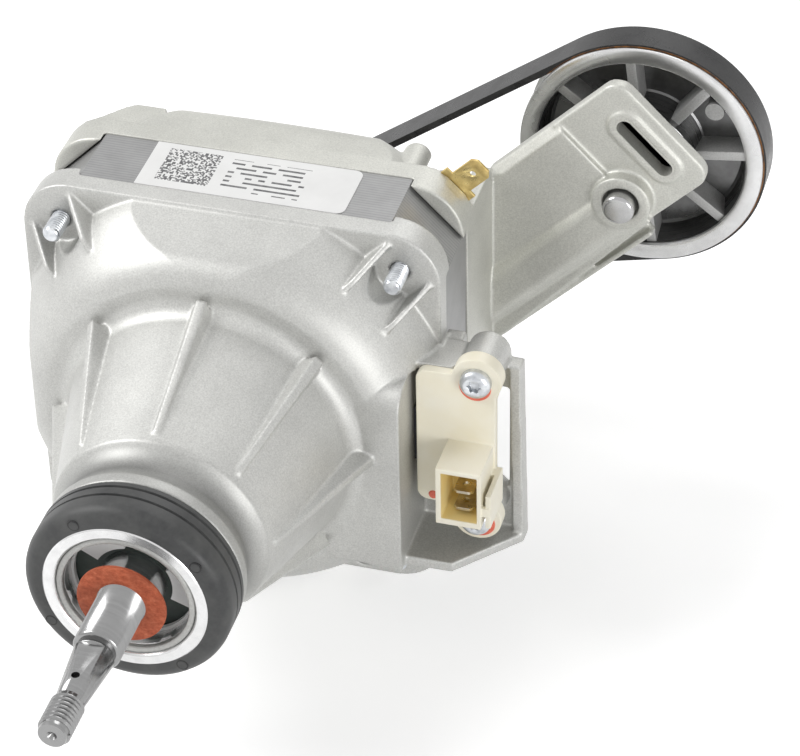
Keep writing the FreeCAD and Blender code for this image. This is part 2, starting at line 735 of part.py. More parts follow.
# Dark green seal in the mouth of the nose, running close round the collar
def shaft_seal():
    outer = mouth_radius - 0.02
    inner = collar_radius + running_gap
    back = mouth_depth - 0.1
    outline = [(outer, 2.6), (outer, back), (13.4, back), (13.4, 4.0)]
    outline = outline + [(inner, 4.0), (inner, 2.2), (9.4, 2.6)]
    return revolved(outline)


# Grey retainer with three windows in front of the seal
def seal_retainer():
    plate = tube(mouth_radius - 0.02, 9.6, 0.9, 2.1)
    windows = []
    for k in range(3):
        window = tube(14.6, 8.0, 0.0, 3.0)
        side_x = 30 * math.cos(math.radians(34))
        side_z = 30 * math.sin(math.radians(34))
        sector = prism([(0, 0), (side_x, -side_z), (40, 0), (side_x, side_z)], 0.0, 3.0)
        windows.append(turned(window.common(sector), 65 + 120 * k))
    return cut_all(plate, windows).removeSplitter()


# Rubber ring the motor is clamped by, with two narrow grooves
def nose_ring():
    solid = tube(ring_radius, sleeve_radius, ring_front, ring_back)
    front_edge = [e for e in edges_at_y(solid, ring_front) if e.BoundBox.XMax > sleeve_radius + 1]
    solid = solid.makeFillet(3.2, front_edge)
    for y in (1.3, 4.3):
        solid = solid.cut(tube(ring_radius + 1, ring_radius - 0.7, y - 0.25, y + 0.25))
    return solid


def nose_sleeve():
    return tube(sleeve_radius, spigot_radius, ring_front - 0.3, ring_back)


# Belt over both pulleys, as wide as the two rims allow
def belt_outline(offset, y0, y1):
    small = motor_pulley_radius + belt_clearance + offset
    large = large_pulley_radius + belt_clearance + offset
    distance = math.hypot(axle_x, axle_z)
    lean = math.asin((large - small) / distance)
    points_up = (small * math.sin(-lean), small * math.cos(lean))
    far_up = (distance + large * math.sin(-lean), large * math.cos(lean))
    hull = [(points_up[0], -points_up[1]), (far_up[0], -far_up[1]), far_up, points_up]
    solid = prism(hull, y0, y1).fuse(cylinder(small, y0, y1)).fuse(cylinder(large, y0, y1, distance, 0))
    solid = solid.removeSplitter()
    solid.rotate(V(0, 0, 0), AXIS, -math.degrees(math.atan2(axle_z, axle_x)))
    return solid


def drive_belt():
    outer = belt_outline(belt_thickness, belt_front, belt_back)
    return outer.cut(belt_outline(0.0, belt_front - 1, belt_back + 1))


# Small grooved pulley on the rear end of the shaft
def motor_pulley():
    first = belt_front - flange_step
    last = belt_back + flange_step
    outline = [(shaft_radius, motor_pulley_front), (motor_flange_radius, motor_pulley_front)]
    outline = outline + [(motor_flange_radius, first), (motor_pulley_radius, first)]
    outline = outline + [(motor_pulley_radius, last), (motor_flange_radius, last)]
    outline = outline + [(motor_flange_radius, motor_pulley_back), (shaft_radius, motor_pulley_back)]
    return revolved(outline)


def pulley_bearing_starts():
    width = pulley_bearing["width"]
    return [rim_front, drum_wheel_end - 1.2 - width]


def at_axle(shape):
    moved = shape.copy()
    moved.translate(V(axle_x, 0, axle_z))
    return moved


# Large pulley: rim, web, eight spokes, hub and the drum belt wheel behind
def large_pulley():
    outer = pulley_bearing["outer"]
    starts = pulley_bearing_starts()
    first_end = starts[0] + pulley_bearing["width"]
    first = belt_front - flange_step
    last = belt_back + flange_step
    lip = drum_wheel_radius + 1.4
    outline = [(rim_inner, rim_front), (rim_radius, rim_front), (rim_radius, first)]
    outline = outline + [(large_pulley_radius, first), (large_pulley_radius, last)]
    outline = outline + [(rim_radius, last), (rim_radius, rim_back), (lip, rim_back)]
    outline = outline + [(lip, drum_wheel_start), (drum_wheel_radius, drum_wheel_start)]
    outline = outline + [(drum_wheel_radius, drum_wheel_end - 1.2), (lip, drum_wheel_end - 1.2)]
    outline = outline + [(lip, drum_wheel_end), (outer, drum_wheel_end)]
    outline = outline + [(outer, starts[1]), (outer - 1.8, starts[1]), (outer - 1.8, first_end)]
    outline = outline + [(outer, first_end), (outer, rim_front - 1.0), (13.6, rim_front - 1.0)]
    outline = outline + [(14.4, web_front), (rim_inner - 1.6, web_front)]
    solid = revolved(outline)
    spokes = []
    for k in range(spoke_count):
        spoke = box(12.6, rim_inner + 0.6, rim_front + 1.2, web_front + 1, -1.4, 1.4)
        spokes.append(turned(spoke, spoke_angle + 360.0 / spoke_count * k))
    knob = cylinder(2.4, rim_front + 1.0, web_front + 1, 24.0, 0)
    knob = turned(knob, spoke_angle + 33.0)
    return at_axle(fuse([solid, knob] + spokes))


# Steel pin pressed into the arm, with a groove for its ring
def pulley_axle():
    solid = cylinder(axle_radius, axle_front, axle_back)
    solid = solid.makeFillet(1.0, edges_at_y(solid, axle_front))
    solid = solid.makeChamfer(0.5, edges_at_y(solid, axle_back))
    return at_axle(solid.cut(tube(axle_radius + 1, axle_radius - 0.5, axle_ring_y, axle_ring_y + 1.1)))


def axle_ring():
    ring = tube(7.0, axle_radius - 0.45, axle_ring_y + 0.05, axle_ring_y + 1.0)
    return at_axle(ring.cut(box(-2.0, 2.0, axle_ring_y - 1, axle_ring_y + 2, 0, 9)))


def axle_sleeves():
    starts = pulley_bearing_starts()
    first = tube(5.6, axle_radius, boss_back, starts[0])
    second = tube(5.6, axle_radius, starts[0] + pulley_bearing["width"], starts[1])
    third = tube(5.6, axle_radius, starts[1] + pulley_bearing["width"], axle_ring_y)
    return group([at_axle(first), at_axle(second), at_axle(third)])


# Through bolts: flanged heads in the rear corners, threaded tips in front
def through_bolts():
    bolts = []
    for x, z in four_corners(bolt_half_pitch):
        tip = cylinder(bolt_radius, bolt_tip, bolt_seat + 0.5, x, z)
        tip = tip.makeChamfer(0.5, edges_at_y(tip, bolt_tip))
        flange = cylinder(5.0, bolt_seat, bolt_seat + 1.0, x, z)
        corners = []
        for k in range(6):
            angle = math.radians(60 * k)
            corners.append((x + 4.6 * math.cos(angle), z + 4.6 * math.sin(angle)))
        head = prism(corners, bolt_seat + 0.9, bolt_seat + 4.6)
        bolts.append(fuse([tip, flange, head]))
    return group(bolts)


# Connector body: face plate, block behind it, two screw ears, socket box and latch
def connector_housing():
    plate_left = connector_side - 0.5
    plate_back = connector_front + connector_plate
    block = box(plate_left, connector_right, connector_front, plate_back, -17.2, connector_top)
    left = (plate_left - 0.2, plate_left + 0.2)
    block = block.makeFillet(2.8, edges_along_y(block, left, (-20, 30)))
    upper = box(connector_side, 62.5, plate_back - 0.5, connector_back, -14.2, recess_top - 1)
    lower = box(connector_side, 66.6, plate_back - 0.5, 76.6, -14.2, 4.0)
    block = fuse([block, upper, lower])
    for z in (screw_top_z, screw_low_z):
        block = block.cut(cylinder(5.7, connector_front + ear_thickness, 90, screw_x, z))
    ears = []
    for z, reach in ((screw_top_z, -6.0), (screw_low_z, 8.0)):
        back = connector_front + ear_thickness
        ears.append(cylinder(6.2, connector_front, back, screw_x, z))
        low = min(z, z + reach)
        high = max(z, z + reach)
        ears.append(box(screw_x - 6.2, connector_right, connector_front, back, low, high))
    socket = box(57.5, 68.8, socket_front, connector_front + 1, -13.9, 3.0)
    latch = box(69.7, 71.0, socket_front + 1.0, connector_front + 1, -13.9, -4.0)
    hook = box(68.5, 71.0, socket_front + 0.6, socket_front + 2.0, -10.2, -7.6)
    rail = box(68.5, 71.0, connector_front - 2.4, connector_front + 1, -13.9, -4.0)
    solid = fuse([block, socket, latch, hook, rail] + ears)
    tools = [box(58.8, 67.8, socket_front - 1, connector_front - 1.0, -12.3, 1.7)]
    for z in (screw_top_z, screw_low_z):
        tools.append(cylinder(screw_radius + 0.15, connector_front - 2, 80, screw_x, z))
    for z in blade_heights:
        tools.append(box(61.2, 66.0, connector_front - 2, 76.0, z - 0.4, z + 0.4))
    return cut_all(solid, tools).removeSplitter()


def connector_blades():
    blades = []
    for z in blade_heights:
        blade = box(61.2, 66.0, socket_front + 3.0, 76.0, z - 0.4, z + 0.4)
        front = socket_front + 4
        tip = [e for e in blade.Edges if e.BoundBox.ZLength > 0.5 and e.BoundBox.YMax < front]
        blade = blade.makeChamfer(0.8, tip)
        hole = Part.makeCylinder(0.8, 4, V(63.6, socket_front + 6.2, z - 2), V(0, 0, 1))
        blades.append(blade.cut(hole))
    return group(blades)


def connector_screws():
    screws = []
    for z in (screw_top_z, screw_low_z):
        head = cylinder(screw_head_radius, connector_front - 2.6, connector_front, screw_x, z)
        head = head.makeFillet(1.6, edges_at_y(head, connector_front - 2.6))
        shank = cylinder(screw_radius, connector_front - 0.5, 80.0, screw_x, z)
        points = []
        for k in range(12):
            angle = math.radians(30 * k)
            reach = 1.9 if k % 2 == 0 else 1.25
            points.append((screw_x + reach * math.cos(angle), z + reach * math.sin(angle)))
        recess = prism(points, connector_front - 3.5, connector_front - 1.2)
        screws.append(fuse([head, shank]).cut(recess))
    return group(screws)


# Short phase leads through the side wall, in a rubber grommet
def phase_leads():
    wires = []
    start = cavity_radius - 4.5
    for z in lead_heights:
        wires.append(Part.makeCylinder(1.1, connector_side - start, V(start, 73.0, z), V(1, 0, 0)))
    return group(wires)


def lead_grommet():
    block = box(cavity_radius - 1.0, recess_x + 0.6, 70.6, 75.4, -8, 8)
    wires = [Part.makeCylinder(1.1, 20, V(35, 73.0, z), V(1, 0, 0)) for z in lead_heights]
    return cut_all(block, wires)


def rating_label():
    return box(-25.6, 27.4, stack_front + 0.2, stack_back - 0.2, stack_half, stack_half + 0.2)


front_y = front_bearing_start
rear_y = rear_bearing_start
pulley_y = pulley_bearing_starts()
outer_rings = [at_axle(bearing_outer(pulley_bearing, y)) for y in pulley_y]
inner_rings = [at_axle(bearing_inner(pulley_bearing, y)) for y in pulley_y]
pulley_balls = [at_axle(ball) for y in pulley_y for ball in bearing_balls(pulley_bearing, y)]
washer_front = collar_front - washer_thickness
nodes = {
    "front_housing": front_housing(),
    "rear_housing": rear_housing(),
    "stator_core": stator_core(),
    "stator_insulators": stator_insulators(),
    "stator_coils": stator_coils(),
    "rotor_core": rotor_core(),
    "rotor_magnets": rotor_magnets(),
    "rotor_shaft": rotor_shaft(),
    "front_bearing_outer_ring": bearing_outer(rotor_bearing, front_y),
    "front_bearing_inner_ring": bearing_inner(rotor_bearing, front_y),
    "front_bearing_balls": group(bearing_balls(rotor_bearing, front_y)),
    "rear_bearing_outer_ring": bearing_outer(rotor_bearing, rear_y),
    "rear_bearing_inner_ring": bearing_inner(rotor_bearing, rear_y),
    "rear_bearing_balls": group(bearing_balls(rotor_bearing, rear_y)),
    "preload_washer": preload_washer(),
    "shaft_collar": tube(collar_radius, shaft_radius, collar_front, front_bearing_start),
    "shaft_seal": shaft_seal(),
    "seal_retainer": seal_retainer(),
    "fibre_washer": tube(washer_radius, shaft_radius, washer_front, collar_front),
    "nose_ring": nose_ring(),
    "nose_sleeve": nose_sleeve(),
    "motor_pulley": motor_pulley(),
    "drive_belt": drive_belt(),
    "large_pulley": large_pulley(),
    "pulley_axle": pulley_axle(),
    "axle_sleeves": axle_sleeves(),
    "axle_retaining_ring": axle_ring(),
    "pulley_bearing_outer_rings": group(outer_rings),
    "pulley_bearing_inner_rings": group(inner_rings),
    "pulley_bearing_balls": group(pulley_balls),
    "through_bolts": through_bolts(),
    "earth_tab": earth_tab(),
    "connector_housing": connector_housing(),
    "connector_blades": connector_blades(),
    "connector_screws": connector_screws(),
    "phase_leads": phase_leads(),
    "lead_grommet": lead_grommet(),
    "rating_label": rating_label(),
}
for name, shape in nodes.items():
    limits = shape.BoundBox
    size = "%.1f %.1f %.1f" % (limits.XLength, limits.YLength, limits.ZLength)
    print(name, "valid" if shape.isValid() else "NOT VALID", len(shape.Solids), "solids", size)
    save(name, shape)
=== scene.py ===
# %% [markdown]
# A brushless dryer motor with a belt reduction. The engineering model is loaded first as a fixed
# frame, in metres, with the motor axis along Y and the fan shaft pointing to -Y. Everything below
# dresses that frame: it never moves or resizes it. Most sizes are written in millimetres, and a
# small helper turns them into metres.
# %% Load the frame
import bpy
import bmesh
import math
from mathutils import Matrix, Vector


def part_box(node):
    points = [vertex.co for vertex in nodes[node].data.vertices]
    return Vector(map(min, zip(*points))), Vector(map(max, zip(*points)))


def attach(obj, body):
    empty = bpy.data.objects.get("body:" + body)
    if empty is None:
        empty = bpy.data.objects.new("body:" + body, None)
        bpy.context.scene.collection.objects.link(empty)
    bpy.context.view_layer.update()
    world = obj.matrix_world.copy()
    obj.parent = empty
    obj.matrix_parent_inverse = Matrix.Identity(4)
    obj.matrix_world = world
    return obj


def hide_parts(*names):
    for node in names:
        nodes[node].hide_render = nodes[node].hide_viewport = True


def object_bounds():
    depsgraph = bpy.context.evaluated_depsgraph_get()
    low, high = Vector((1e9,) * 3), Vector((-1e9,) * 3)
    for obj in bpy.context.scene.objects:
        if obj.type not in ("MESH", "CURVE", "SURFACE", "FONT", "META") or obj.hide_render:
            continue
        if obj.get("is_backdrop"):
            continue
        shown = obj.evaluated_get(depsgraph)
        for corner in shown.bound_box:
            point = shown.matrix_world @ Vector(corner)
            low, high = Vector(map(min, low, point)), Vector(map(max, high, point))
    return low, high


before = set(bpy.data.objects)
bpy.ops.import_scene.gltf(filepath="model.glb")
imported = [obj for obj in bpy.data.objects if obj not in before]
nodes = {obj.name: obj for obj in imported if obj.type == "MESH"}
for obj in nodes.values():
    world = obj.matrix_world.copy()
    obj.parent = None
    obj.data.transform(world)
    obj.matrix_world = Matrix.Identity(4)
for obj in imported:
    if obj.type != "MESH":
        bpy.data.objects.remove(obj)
cad_low, cad_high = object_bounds()
print("frame:", len(nodes), "nodes, size", [round(h - l, 4) for l, h in zip(cad_low, cad_high)])


def mm(*values):
    return Vector([value / 1000.0 for value in values])


# %% [markdown]
# The camera looks down on the nose from the front and slightly from the right. Its place and its
# three angles were worked out from the circles and edges of the real motor.
# %% Camera
camera_data = bpy.data.cameras.new("studio_camera")
camera = bpy.data.objects.new("studio_camera", camera_data)
bpy.context.scene.collection.objects.link(camera)
bpy.context.scene.camera = camera
camera_place = (0.23141, -0.54949, 0.51668)
turn, tilt, roll = math.radians(16.769), math.radians(37.695), math.radians(-1.189)
ahead = Vector((-math.sin(turn) * math.cos(tilt), math.cos(turn) * math.cos(tilt), -math.sin(tilt)))
level = Vector((math.cos(turn), math.sin(turn), 0.0))
upward = level.cross(ahead)
right_axis = math.cos(roll) * level + math.sin(roll) * upward
up_axis = -math.sin(roll) * level + math.cos(roll) * upward
axes = Matrix((right_axis, up_axis, -ahead)).transposed().to_4x4()
camera.matrix_world = Matrix.Translation(camera_place) @ axes
camera_data.lens = 152.6
camera_data.sensor_width = 36.0
camera_data.sensor_fit = "HORIZONTAL"
camera_data.clip_start, camera_data.clip_end = 0.05, 20.0
print("camera at", [round(value, 3) for value in camera.location])

# %% [markdown]
# Node materials are built many times below, so small helpers do the wiring: one makes a material
# with its shader, one adds a node and fills or links its sockets, and the others are short names for
# sums, ranges, noises, colour ramps, blends and relief. All patterns read Object coordinates, which
# are metres here: a noise of scale 1000 has one grain per millimetre.
# %% Material helpers
def new_finish(name, roughness, metallic=0.0):
    material = bpy.data.materials.new(name)
    material.use_nodes = True
    tree = material.node_tree
    shader = tree.nodes["Principled BSDF"]
    shader.inputs["Roughness"].default_value = roughness
    shader.inputs["Metallic"].default_value = metallic
    place = tree.nodes.new("ShaderNodeTexCoord").outputs["Object"]
    return material, tree, shader, place


def feed(tree, socket, value):
    if isinstance(value, bpy.types.NodeSocket):
        tree.links.new(value, socket)
    else:
        socket.default_value = value


def add_node(tree, kind, inputs=None, **options):
    node = tree.nodes.new(kind)
    for option, value in options.items():
        setattr(node, option, value)
    for socket, value in (inputs or {}).items():
        feed(tree, node.inputs[socket], value)
    return node


def maths(tree, operation, first, second=0.0):
    return add_node(tree, "ShaderNodeMath", {0: first, 1: second}, operation=operation).outputs[0]


def map_range(tree, value, start, end, low=0.0, high=1.0):
    limits = {"Value": value, "From Min": start, "From Max": end, "To Min": low, "To Max": high}
    return add_node(tree, "ShaderNodeMapRange", limits).outputs["Result"]


def split(tree, place):
    return add_node(tree, "ShaderNodeSeparateXYZ", {"Vector": place}).outputs


def distance_seen_along_y(tree, place, centre):
    flat = add_node(tree, "ShaderNodeVectorMath", {0: place, 1: (1.0, 0.0, 1.0)}, operation="MULTIPLY")
    ends = {0: flat.outputs["Vector"], 1: centre}
    return add_node(tree, "ShaderNodeVectorMath", ends, operation="DISTANCE").outputs["Value"]


def noise(tree, place, scale, detail=3.0, rough=0.6, stretch=None):
    if stretch is not None:
        place = add_node(tree, "ShaderNodeMapping", {"Scale": stretch, "Vector": place}).outputs["Vector"]
    inputs = {"Scale": scale, "Detail": detail, "Roughness": rough, "Vector": place}
    return add_node(tree, "ShaderNodeTexNoise", inputs).outputs["Fac"]


def ramp(tree, factor, stops):
    node = add_node(tree, "ShaderNodeValToRGB", {"Fac": factor})
    points = node.color_ramp.elements
    points[0].position, points[0].color = stops[0][0], (*stops[0][1], 1.0)
    points[1].position, points[1].color = stops[-1][0], (*stops[-1][1], 1.0)
    for position, colour in stops[1:-1]:
        points.new(position).color = (*colour, 1.0)
    return node.outputs["Color"]


def grey_ramp(tree, factor, low, high, start=0.35, end=0.65):
    return ramp(tree, factor, [(start, (low,) * 3), (end, (high,) * 3)])


def blend(tree, factor, first, second, mode="MIX"):
    node = add_node(tree, "ShaderNodeMix", data_type="RGBA", blend_type=mode)
    factor_socket = [socket for socket in node.inputs if socket.type == "VALUE"][0]
    first_socket, second_socket = [socket for socket in node.inputs if socket.type == "RGBA"]
    feed(tree, factor_socket, factor)
    feed(tree, first_socket, first)
    feed(tree, second_socket, second)
    return [socket for socket in node.outputs if socket.type == "RGBA"][0]


def colour_with(tree, shader, colour):
    tree.links.new(colour, shader.inputs["Base Color"])


def bump(tree, shader, height, depth, strength):
    node = add_node(tree, "ShaderNodeBump", {"Strength": strength, "Distance": depth, "Height": height})
    tree.links.new(node.outputs["Normal"], shader.inputs["Normal"])


def dress(node_names, material):
    for name in node_names:
        mesh = nodes[name].data
        mesh.materials.clear()
        mesh.materials.append(material)


print("helpers ready")

# %% [markdown]
# The motor lies on a pale studio floor that fades into white. The floor is partly diffuse, so that
# it keeps the soft shadow of the motor, and partly glows for camera and mirror rays only, which
# makes it white without putting more light on the object. The world is white for the same rays.
# %% Floor and background
floor_level = cad_low.z - 0.0002
floor_half_size = 6.0
floor_grey = 0.80
floor_glow = 0.52
world_light = 0.40
stage = bmesh.new()
bmesh.ops.create_grid(stage, x_segments=1, y_segments=1, size=floor_half_size)
bmesh.ops.translate(stage, verts=stage.verts, vec=(0, 0, floor_level))
floor_mesh = bpy.data.meshes.new("studio_floor")
stage.to_mesh(floor_mesh)
stage.free()
floor = bpy.data.objects.new("studio_floor", floor_mesh)
bpy.context.scene.collection.objects.link(floor)
floor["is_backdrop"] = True


def seen_directly(tree):
    path = tree.nodes.new("ShaderNodeLightPath").outputs
    camera_or_mirror = maths(tree, "MAXIMUM", path["Is Camera Ray"], path["Is Glossy Ray"])
    return maths(tree, "MAXIMUM", camera_or_mirror, path["Is Transmission Ray"])


floor_paint, tree, shader, place = new_finish("studio_floor_paint", 0.9)
shader.inputs["Base Color"].default_value = (floor_grey, floor_grey, floor_grey, 1.0)
shader.inputs["Specular IOR Level"].default_value = 0.0
glow_strength = maths(tree, "MULTIPLY", seen_directly(tree), floor_glow)
glow = add_node(tree, "ShaderNodeEmission", {"Color": (1.0, 1.0, 1.0, 1.0), "Strength": glow_strength})
both = add_node(tree, "ShaderNodeAddShader", {0: shader.outputs["BSDF"], 1: glow.outputs["Emission"]})
tree.links.new(both.outputs["Shader"], tree.nodes["Material Output"].inputs["Surface"])
floor_mesh.materials.append(floor_paint)

world = bpy.data.worlds.new("studio_air")
bpy.context.scene.world = world
world.use_nodes = True
tree = world.node_tree
air = tree.nodes["Background"]
air.inputs["Color"].default_value = (1.0, 1.0, 1.0, 1.0)
tree.links.new(map_range(tree, seen_directly(tree), 0.0, 1.0, world_light, 1.0), air.inputs["Strength"])
print("floor at", round(floor_level, 4))

# %% [markdown]
# Three large soft boxes light the motor: the main one high on the left, a weaker one low on the
# right and in front, and one above and behind that draws the upper edges.
# %% Lamps
lit_point = Vector((0.02, 0.07, 0.0))


def soft_box(name, place, width, height, power):
    data = bpy.data.lights.new(name, "AREA")
    data.shape = "RECTANGLE"
    data.size, data.size_y, data.energy = width, height, power
    lamp = bpy.data.objects.new(name, data)
    bpy.context.scene.collection.objects.link(lamp)
    lamp.location = place
    lamp.rotation_mode = "QUATERNION"
    lamp.rotation_quaternion = (lit_point - Vector(place)).to_track_quat("-Z", "Y")
    print(name, power, "W")


soft_box("main_soft_box", (-1.00, -0.15, 0.95), 0.7, 0.7, 12.5)
soft_box("side_soft_box", (0.95, -0.75, 0.12), 0.6, 0.6, 7.0)
soft_box("rear_soft_box", (0.15, 0.95, 0.95), 0.7, 0.4, 2.4)

# %% [markdown]
# Both castings are die-cast aluminium, blasted with grit: a grey that sparkles a little, with fine
# dark and light grains of about a third of a millimetre and softer cloudy patches where the metal
# flowed. Two noises colour it, and a third gives the grain its relief. The rear casting and its arm
# are a touch lighter and warmer than the front one. On the front casting, painted shade darkens the
# narrow neck behind the nose ring along Y, for its shadow and the ring's dark reflection there. The
# round marks of the mould's ejector pins are sunk into the front of the arm. Their places are
# measured along the arm (u) and across it (v).
# %% Cast aluminium
half_root = math.sqrt(0.5)
mark_edge = 0.15
mark_depth = -0.9
painted_neck_shade_tones = [(0.05, (0.80,) * 3), (0.38, (0.40,) * 3), (0.62, (0.62,) * 3), (0.98, (1.0,) * 3)]


def from_arm(u, v):
    return mm((u - v) * half_root, 0.0, (u + v) * half_root)


def cast_metal(name, dark, light, warmth, grain_depth, marks=(), neck=None):
    material, tree, shader, place = new_finish(name, 0.5, 0.6)
    grain = noise(tree, place, 2600.0, 2.0)
    clouds = noise(tree, place, 45.0, 5.0, 0.62)
    tones = [(0.30, (dark, dark, dark * warmth)), (0.70, (light, light, light * warmth))]
    cloudy = grey_ramp(tree, clouds, 0.88, 1.0, 0.32, 0.62)
    colour = blend(tree, 1.0, ramp(tree, grain, tones), cloudy, "MULTIPLY")
    if neck is not None:
        # painted shade and reflection: a darker band on the neck behind the nose ring, read along Y
        along = map_range(tree, split(tree, place)["Y"], *neck)
        colour = blend(tree, 1.0, colour, ramp(tree, along, painted_neck_shade_tones), "MULTIPLY")
    colour_with(tree, shader, colour)
    tree.links.new(grey_ramp(tree, grain, 0.44, 0.54, 0.3, 0.7), shader.inputs["Roughness"])
    relief = noise(tree, place, 1900.0, 2.0)
    for u, v, radius in marks:
        reach = distance_seen_along_y(tree, place, from_arm(u, v))
        outside, inside = (radius + mark_edge) / 1000.0, (radius - mark_edge) / 1000.0
        relief = maths(tree, "ADD", relief, map_range(tree, reach, outside, inside, 0.0, mark_depth))
    bump(tree, shader, relief, grain_depth, 0.45)
    return material


ejector_marks = ((67.5, -21.3, 2.6), (85.8, -20.8, 2.2), (96.5, -15.9, 2.2), (99.5, -38.8, 1.7),
                 (59.6, -36.0, 2.4))
front_cast = cast_metal("blasted_front_casting", 0.50, 0.66, 0.965, 0.00006, neck=(0.009, 0.021))
rear_cast = cast_metal("blasted_rear_casting", 0.52, 0.67, 0.93, 0.00005, marks=ejector_marks)
spoke_cast = cast_metal("cast_pulley_spokes", 0.40, 0.52, 0.985, 0.00006)
print("castings:", front_cast.name, rear_cast.name, spoke_cast.name)

# %% [markdown]
# The stator stack is pressed from thin sheets, so its sides show fine darker lines across the motor
# axis. A wave along Y draws about one line per millimetre.
# %% Laminated steel
def sheet_stack(name, dark, light):
    material, tree, shader, place = new_finish(name, 0.42, 0.75)
    wave = {"Scale": 320.0, "Distortion": 0.6, "Detail": 1.0, "Detail Scale": 3.0, "Vector": place}
    bands = add_node(tree, "ShaderNodeTexWave", wave, wave_type="BANDS", bands_direction="Y")
    sheets = bands.outputs["Fac"]
    lines = grey_ramp(tree, sheets, dark, light, 0.15, 0.6)
    stain = grey_ramp(tree, noise(tree, place, 180.0, 4.0), 0.93, 1.04)
    colour_with(tree, shader, blend(tree, 1.0, lines, stain, "MULTIPLY"))
    bump(tree, shader, sheets, 0.00003, 0.4)
    return material


stack_steel = sheet_stack("stacked_sheet_steel", 0.30, 0.35)
print("stack:", stack_steel.name)

# %% [markdown]
# Turned steel shows faint rings from the lathe. The rings run round the axis, so the noise is
# squeezed along Y, which makes it vary quickly along the shaft and hardly at all across it.
# %% Turned and ground steels
def turned_steel(name, dark, light, roughness, lines, unevenness=0.05):
    material, tree, shader, place = new_finish(name, roughness, 0.95)
    rings = noise(tree, place, 40.0, 3.0, 0.65, (1.0, lines, 1.0))
    tone = grey_ramp(tree, rings, dark, light, 0.32, 0.68)
    spots = grey_ramp(tree, noise(tree, place, 500.0), dark, light)
    colour_with(tree, shader, blend(tree, 0.25, tone, spots))
    glossy, matt = roughness - unevenness, roughness + unevenness
    tree.links.new(grey_ramp(tree, rings, glossy, matt), shader.inputs["Roughness"])
    bump(tree, shader, rings, 0.0000004, 0.25)
    return material


shaft_steel = turned_steel("turned_shaft_steel", 0.28, 0.33, 0.22, 25.0, unevenness=0.01)
bright_steel = turned_steel("bright_ground_steel", 0.62, 0.84, 0.22, 40.0)
axle_steel = turned_steel("ground_axle_steel", 0.40, 0.56, 0.18, 40.0)
bearing_steel = turned_steel("polished_bearing_steel", 0.45, 0.75, 0.18, 30.0)
# painted shade: the pulley web is coloured dark for the shade deep in its dish
painted_shade_web_metal = turned_steel("painted_shade_pulley_web", 0.11, 0.22, 0.30, 30.0)
dark_core = turned_steel("dark_rotor_steel", 0.10, 0.22, 0.45, 70.0)
machined_aluminium = turned_steel("machined_pulley_aluminium", 0.60, 0.80, 0.30, 50.0)
print("steels ready")

# %% [markdown]
# Zinc plated screws and bolts are bright, slightly blue and cloudy.
# %% Zinc plate
zinc_plate, tree, shader, place = new_finish("zinc_plated_steel", 0.28, 0.95)
patches = noise(tree, place, 420.0, 4.0)
colour_with(tree, shader, ramp(tree, patches, [(0.3, (0.42, 0.44, 0.47)), (0.7, (0.78, 0.80, 0.82))]))
bump(tree, shader, noise(tree, place, 1800.0, 2.0), 0.00004, 0.4)
print("plate:", zinc_plate.name)

# %% [markdown]
# Rubber parts: the nose ring is matt black with a dusty grey bloom, the belt is darker and smoother,
# and the shaft seal is a dark green rubber. The covers of the leads are made in the same way. The
# belt's first cord shows at its front edge as a worn brown line, which is seen where the belt runs
# round the large pulley.
# %% Rubber
def rubber(name, low, high, roughness, grain=900.0):
    material, tree, shader, place = new_finish(name, roughness)
    dust = noise(tree, place, 160.0, 5.0, 0.65)
    colour_with(tree, shader, ramp(tree, dust, [(0.35, low), (0.72, high)]))
    tree.links.new(grey_ramp(tree, dust, roughness - 0.08, roughness + 0.1), shader.inputs["Roughness"])
    shader.inputs["Specular IOR Level"].default_value = 0.35
    bump(tree, shader, noise(tree, place, grain), 0.00006, 0.5)
    return material


def add_cord_line(material, centre, radius, front_limit):
    tree = material.node_tree
    shader = tree.nodes["Principled BSDF"]
    place = tree.nodes["Texture Coordinate"].outputs["Object"]
    beyond = maths(tree, "SUBTRACT", distance_seen_along_y(tree, place, centre), radius)
    line = map_range(tree, maths(tree, "ABSOLUTE", beyond), 0.00026, 0.00012)
    at_front = maths(tree, "LESS_THAN", split(tree, place)["Y"], front_limit)
    worn = grey_ramp(tree, noise(tree, place, 420.0, 2.0), 0.35, 1.0, 0.42, 0.55)
    mask = maths(tree, "MULTIPLY", maths(tree, "MULTIPLY", line, at_front), worn)
    plain = shader.inputs["Base Color"].links[0].from_socket
    colour_with(tree, shader, blend(tree, mask, plain, (0.30, 0.13, 0.04, 1.0)))


pulley_low, pulley_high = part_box("large_pulley")
axle_x = (pulley_low.x + pulley_high.x) * 500.0
axle_z = (pulley_low.z + pulley_high.z) * 500.0
ring_rubber = rubber("matt_black_rubber", (0.050, 0.051, 0.052), (0.095, 0.096, 0.094), 0.44)
belt_rubber = rubber("belt_rubber", (0.016, 0.016, 0.017), (0.042, 0.042, 0.042), 0.30, 1400.0)
add_cord_line(belt_rubber, mm(axle_x, 0.0, axle_z), 0.0313, 0.1469)
seal_rubber = rubber("dark_green_seal_rubber", (0.020, 0.030, 0.026), (0.045, 0.060, 0.052), 0.5)
lead_cover = rubber("lead_insulation", (0.05, 0.05, 0.06), (0.12, 0.12, 0.13), 0.5)
print("large pulley axis at", round(axle_x, 2), round(axle_z, 2))

# %% [markdown]
# Moulded plastics: the cream connector, a painted amber glow inside its socket, the grey retainer
# and the black end caps of the stator.
# %% Plastics
def moulded_plastic(name, low, high, roughness):
    material, tree, shader, place = new_finish(name, roughness)
    flow = noise(tree, place, 90.0, 4.0, 0.55, (1.0, 0.5, 1.0))
    colour_with(tree, shader, ramp(tree, flow, [(0.3, low), (0.7, high)]))
    bump(tree, shader, noise(tree, place, 700.0), 0.00003, 0.4)
    return material


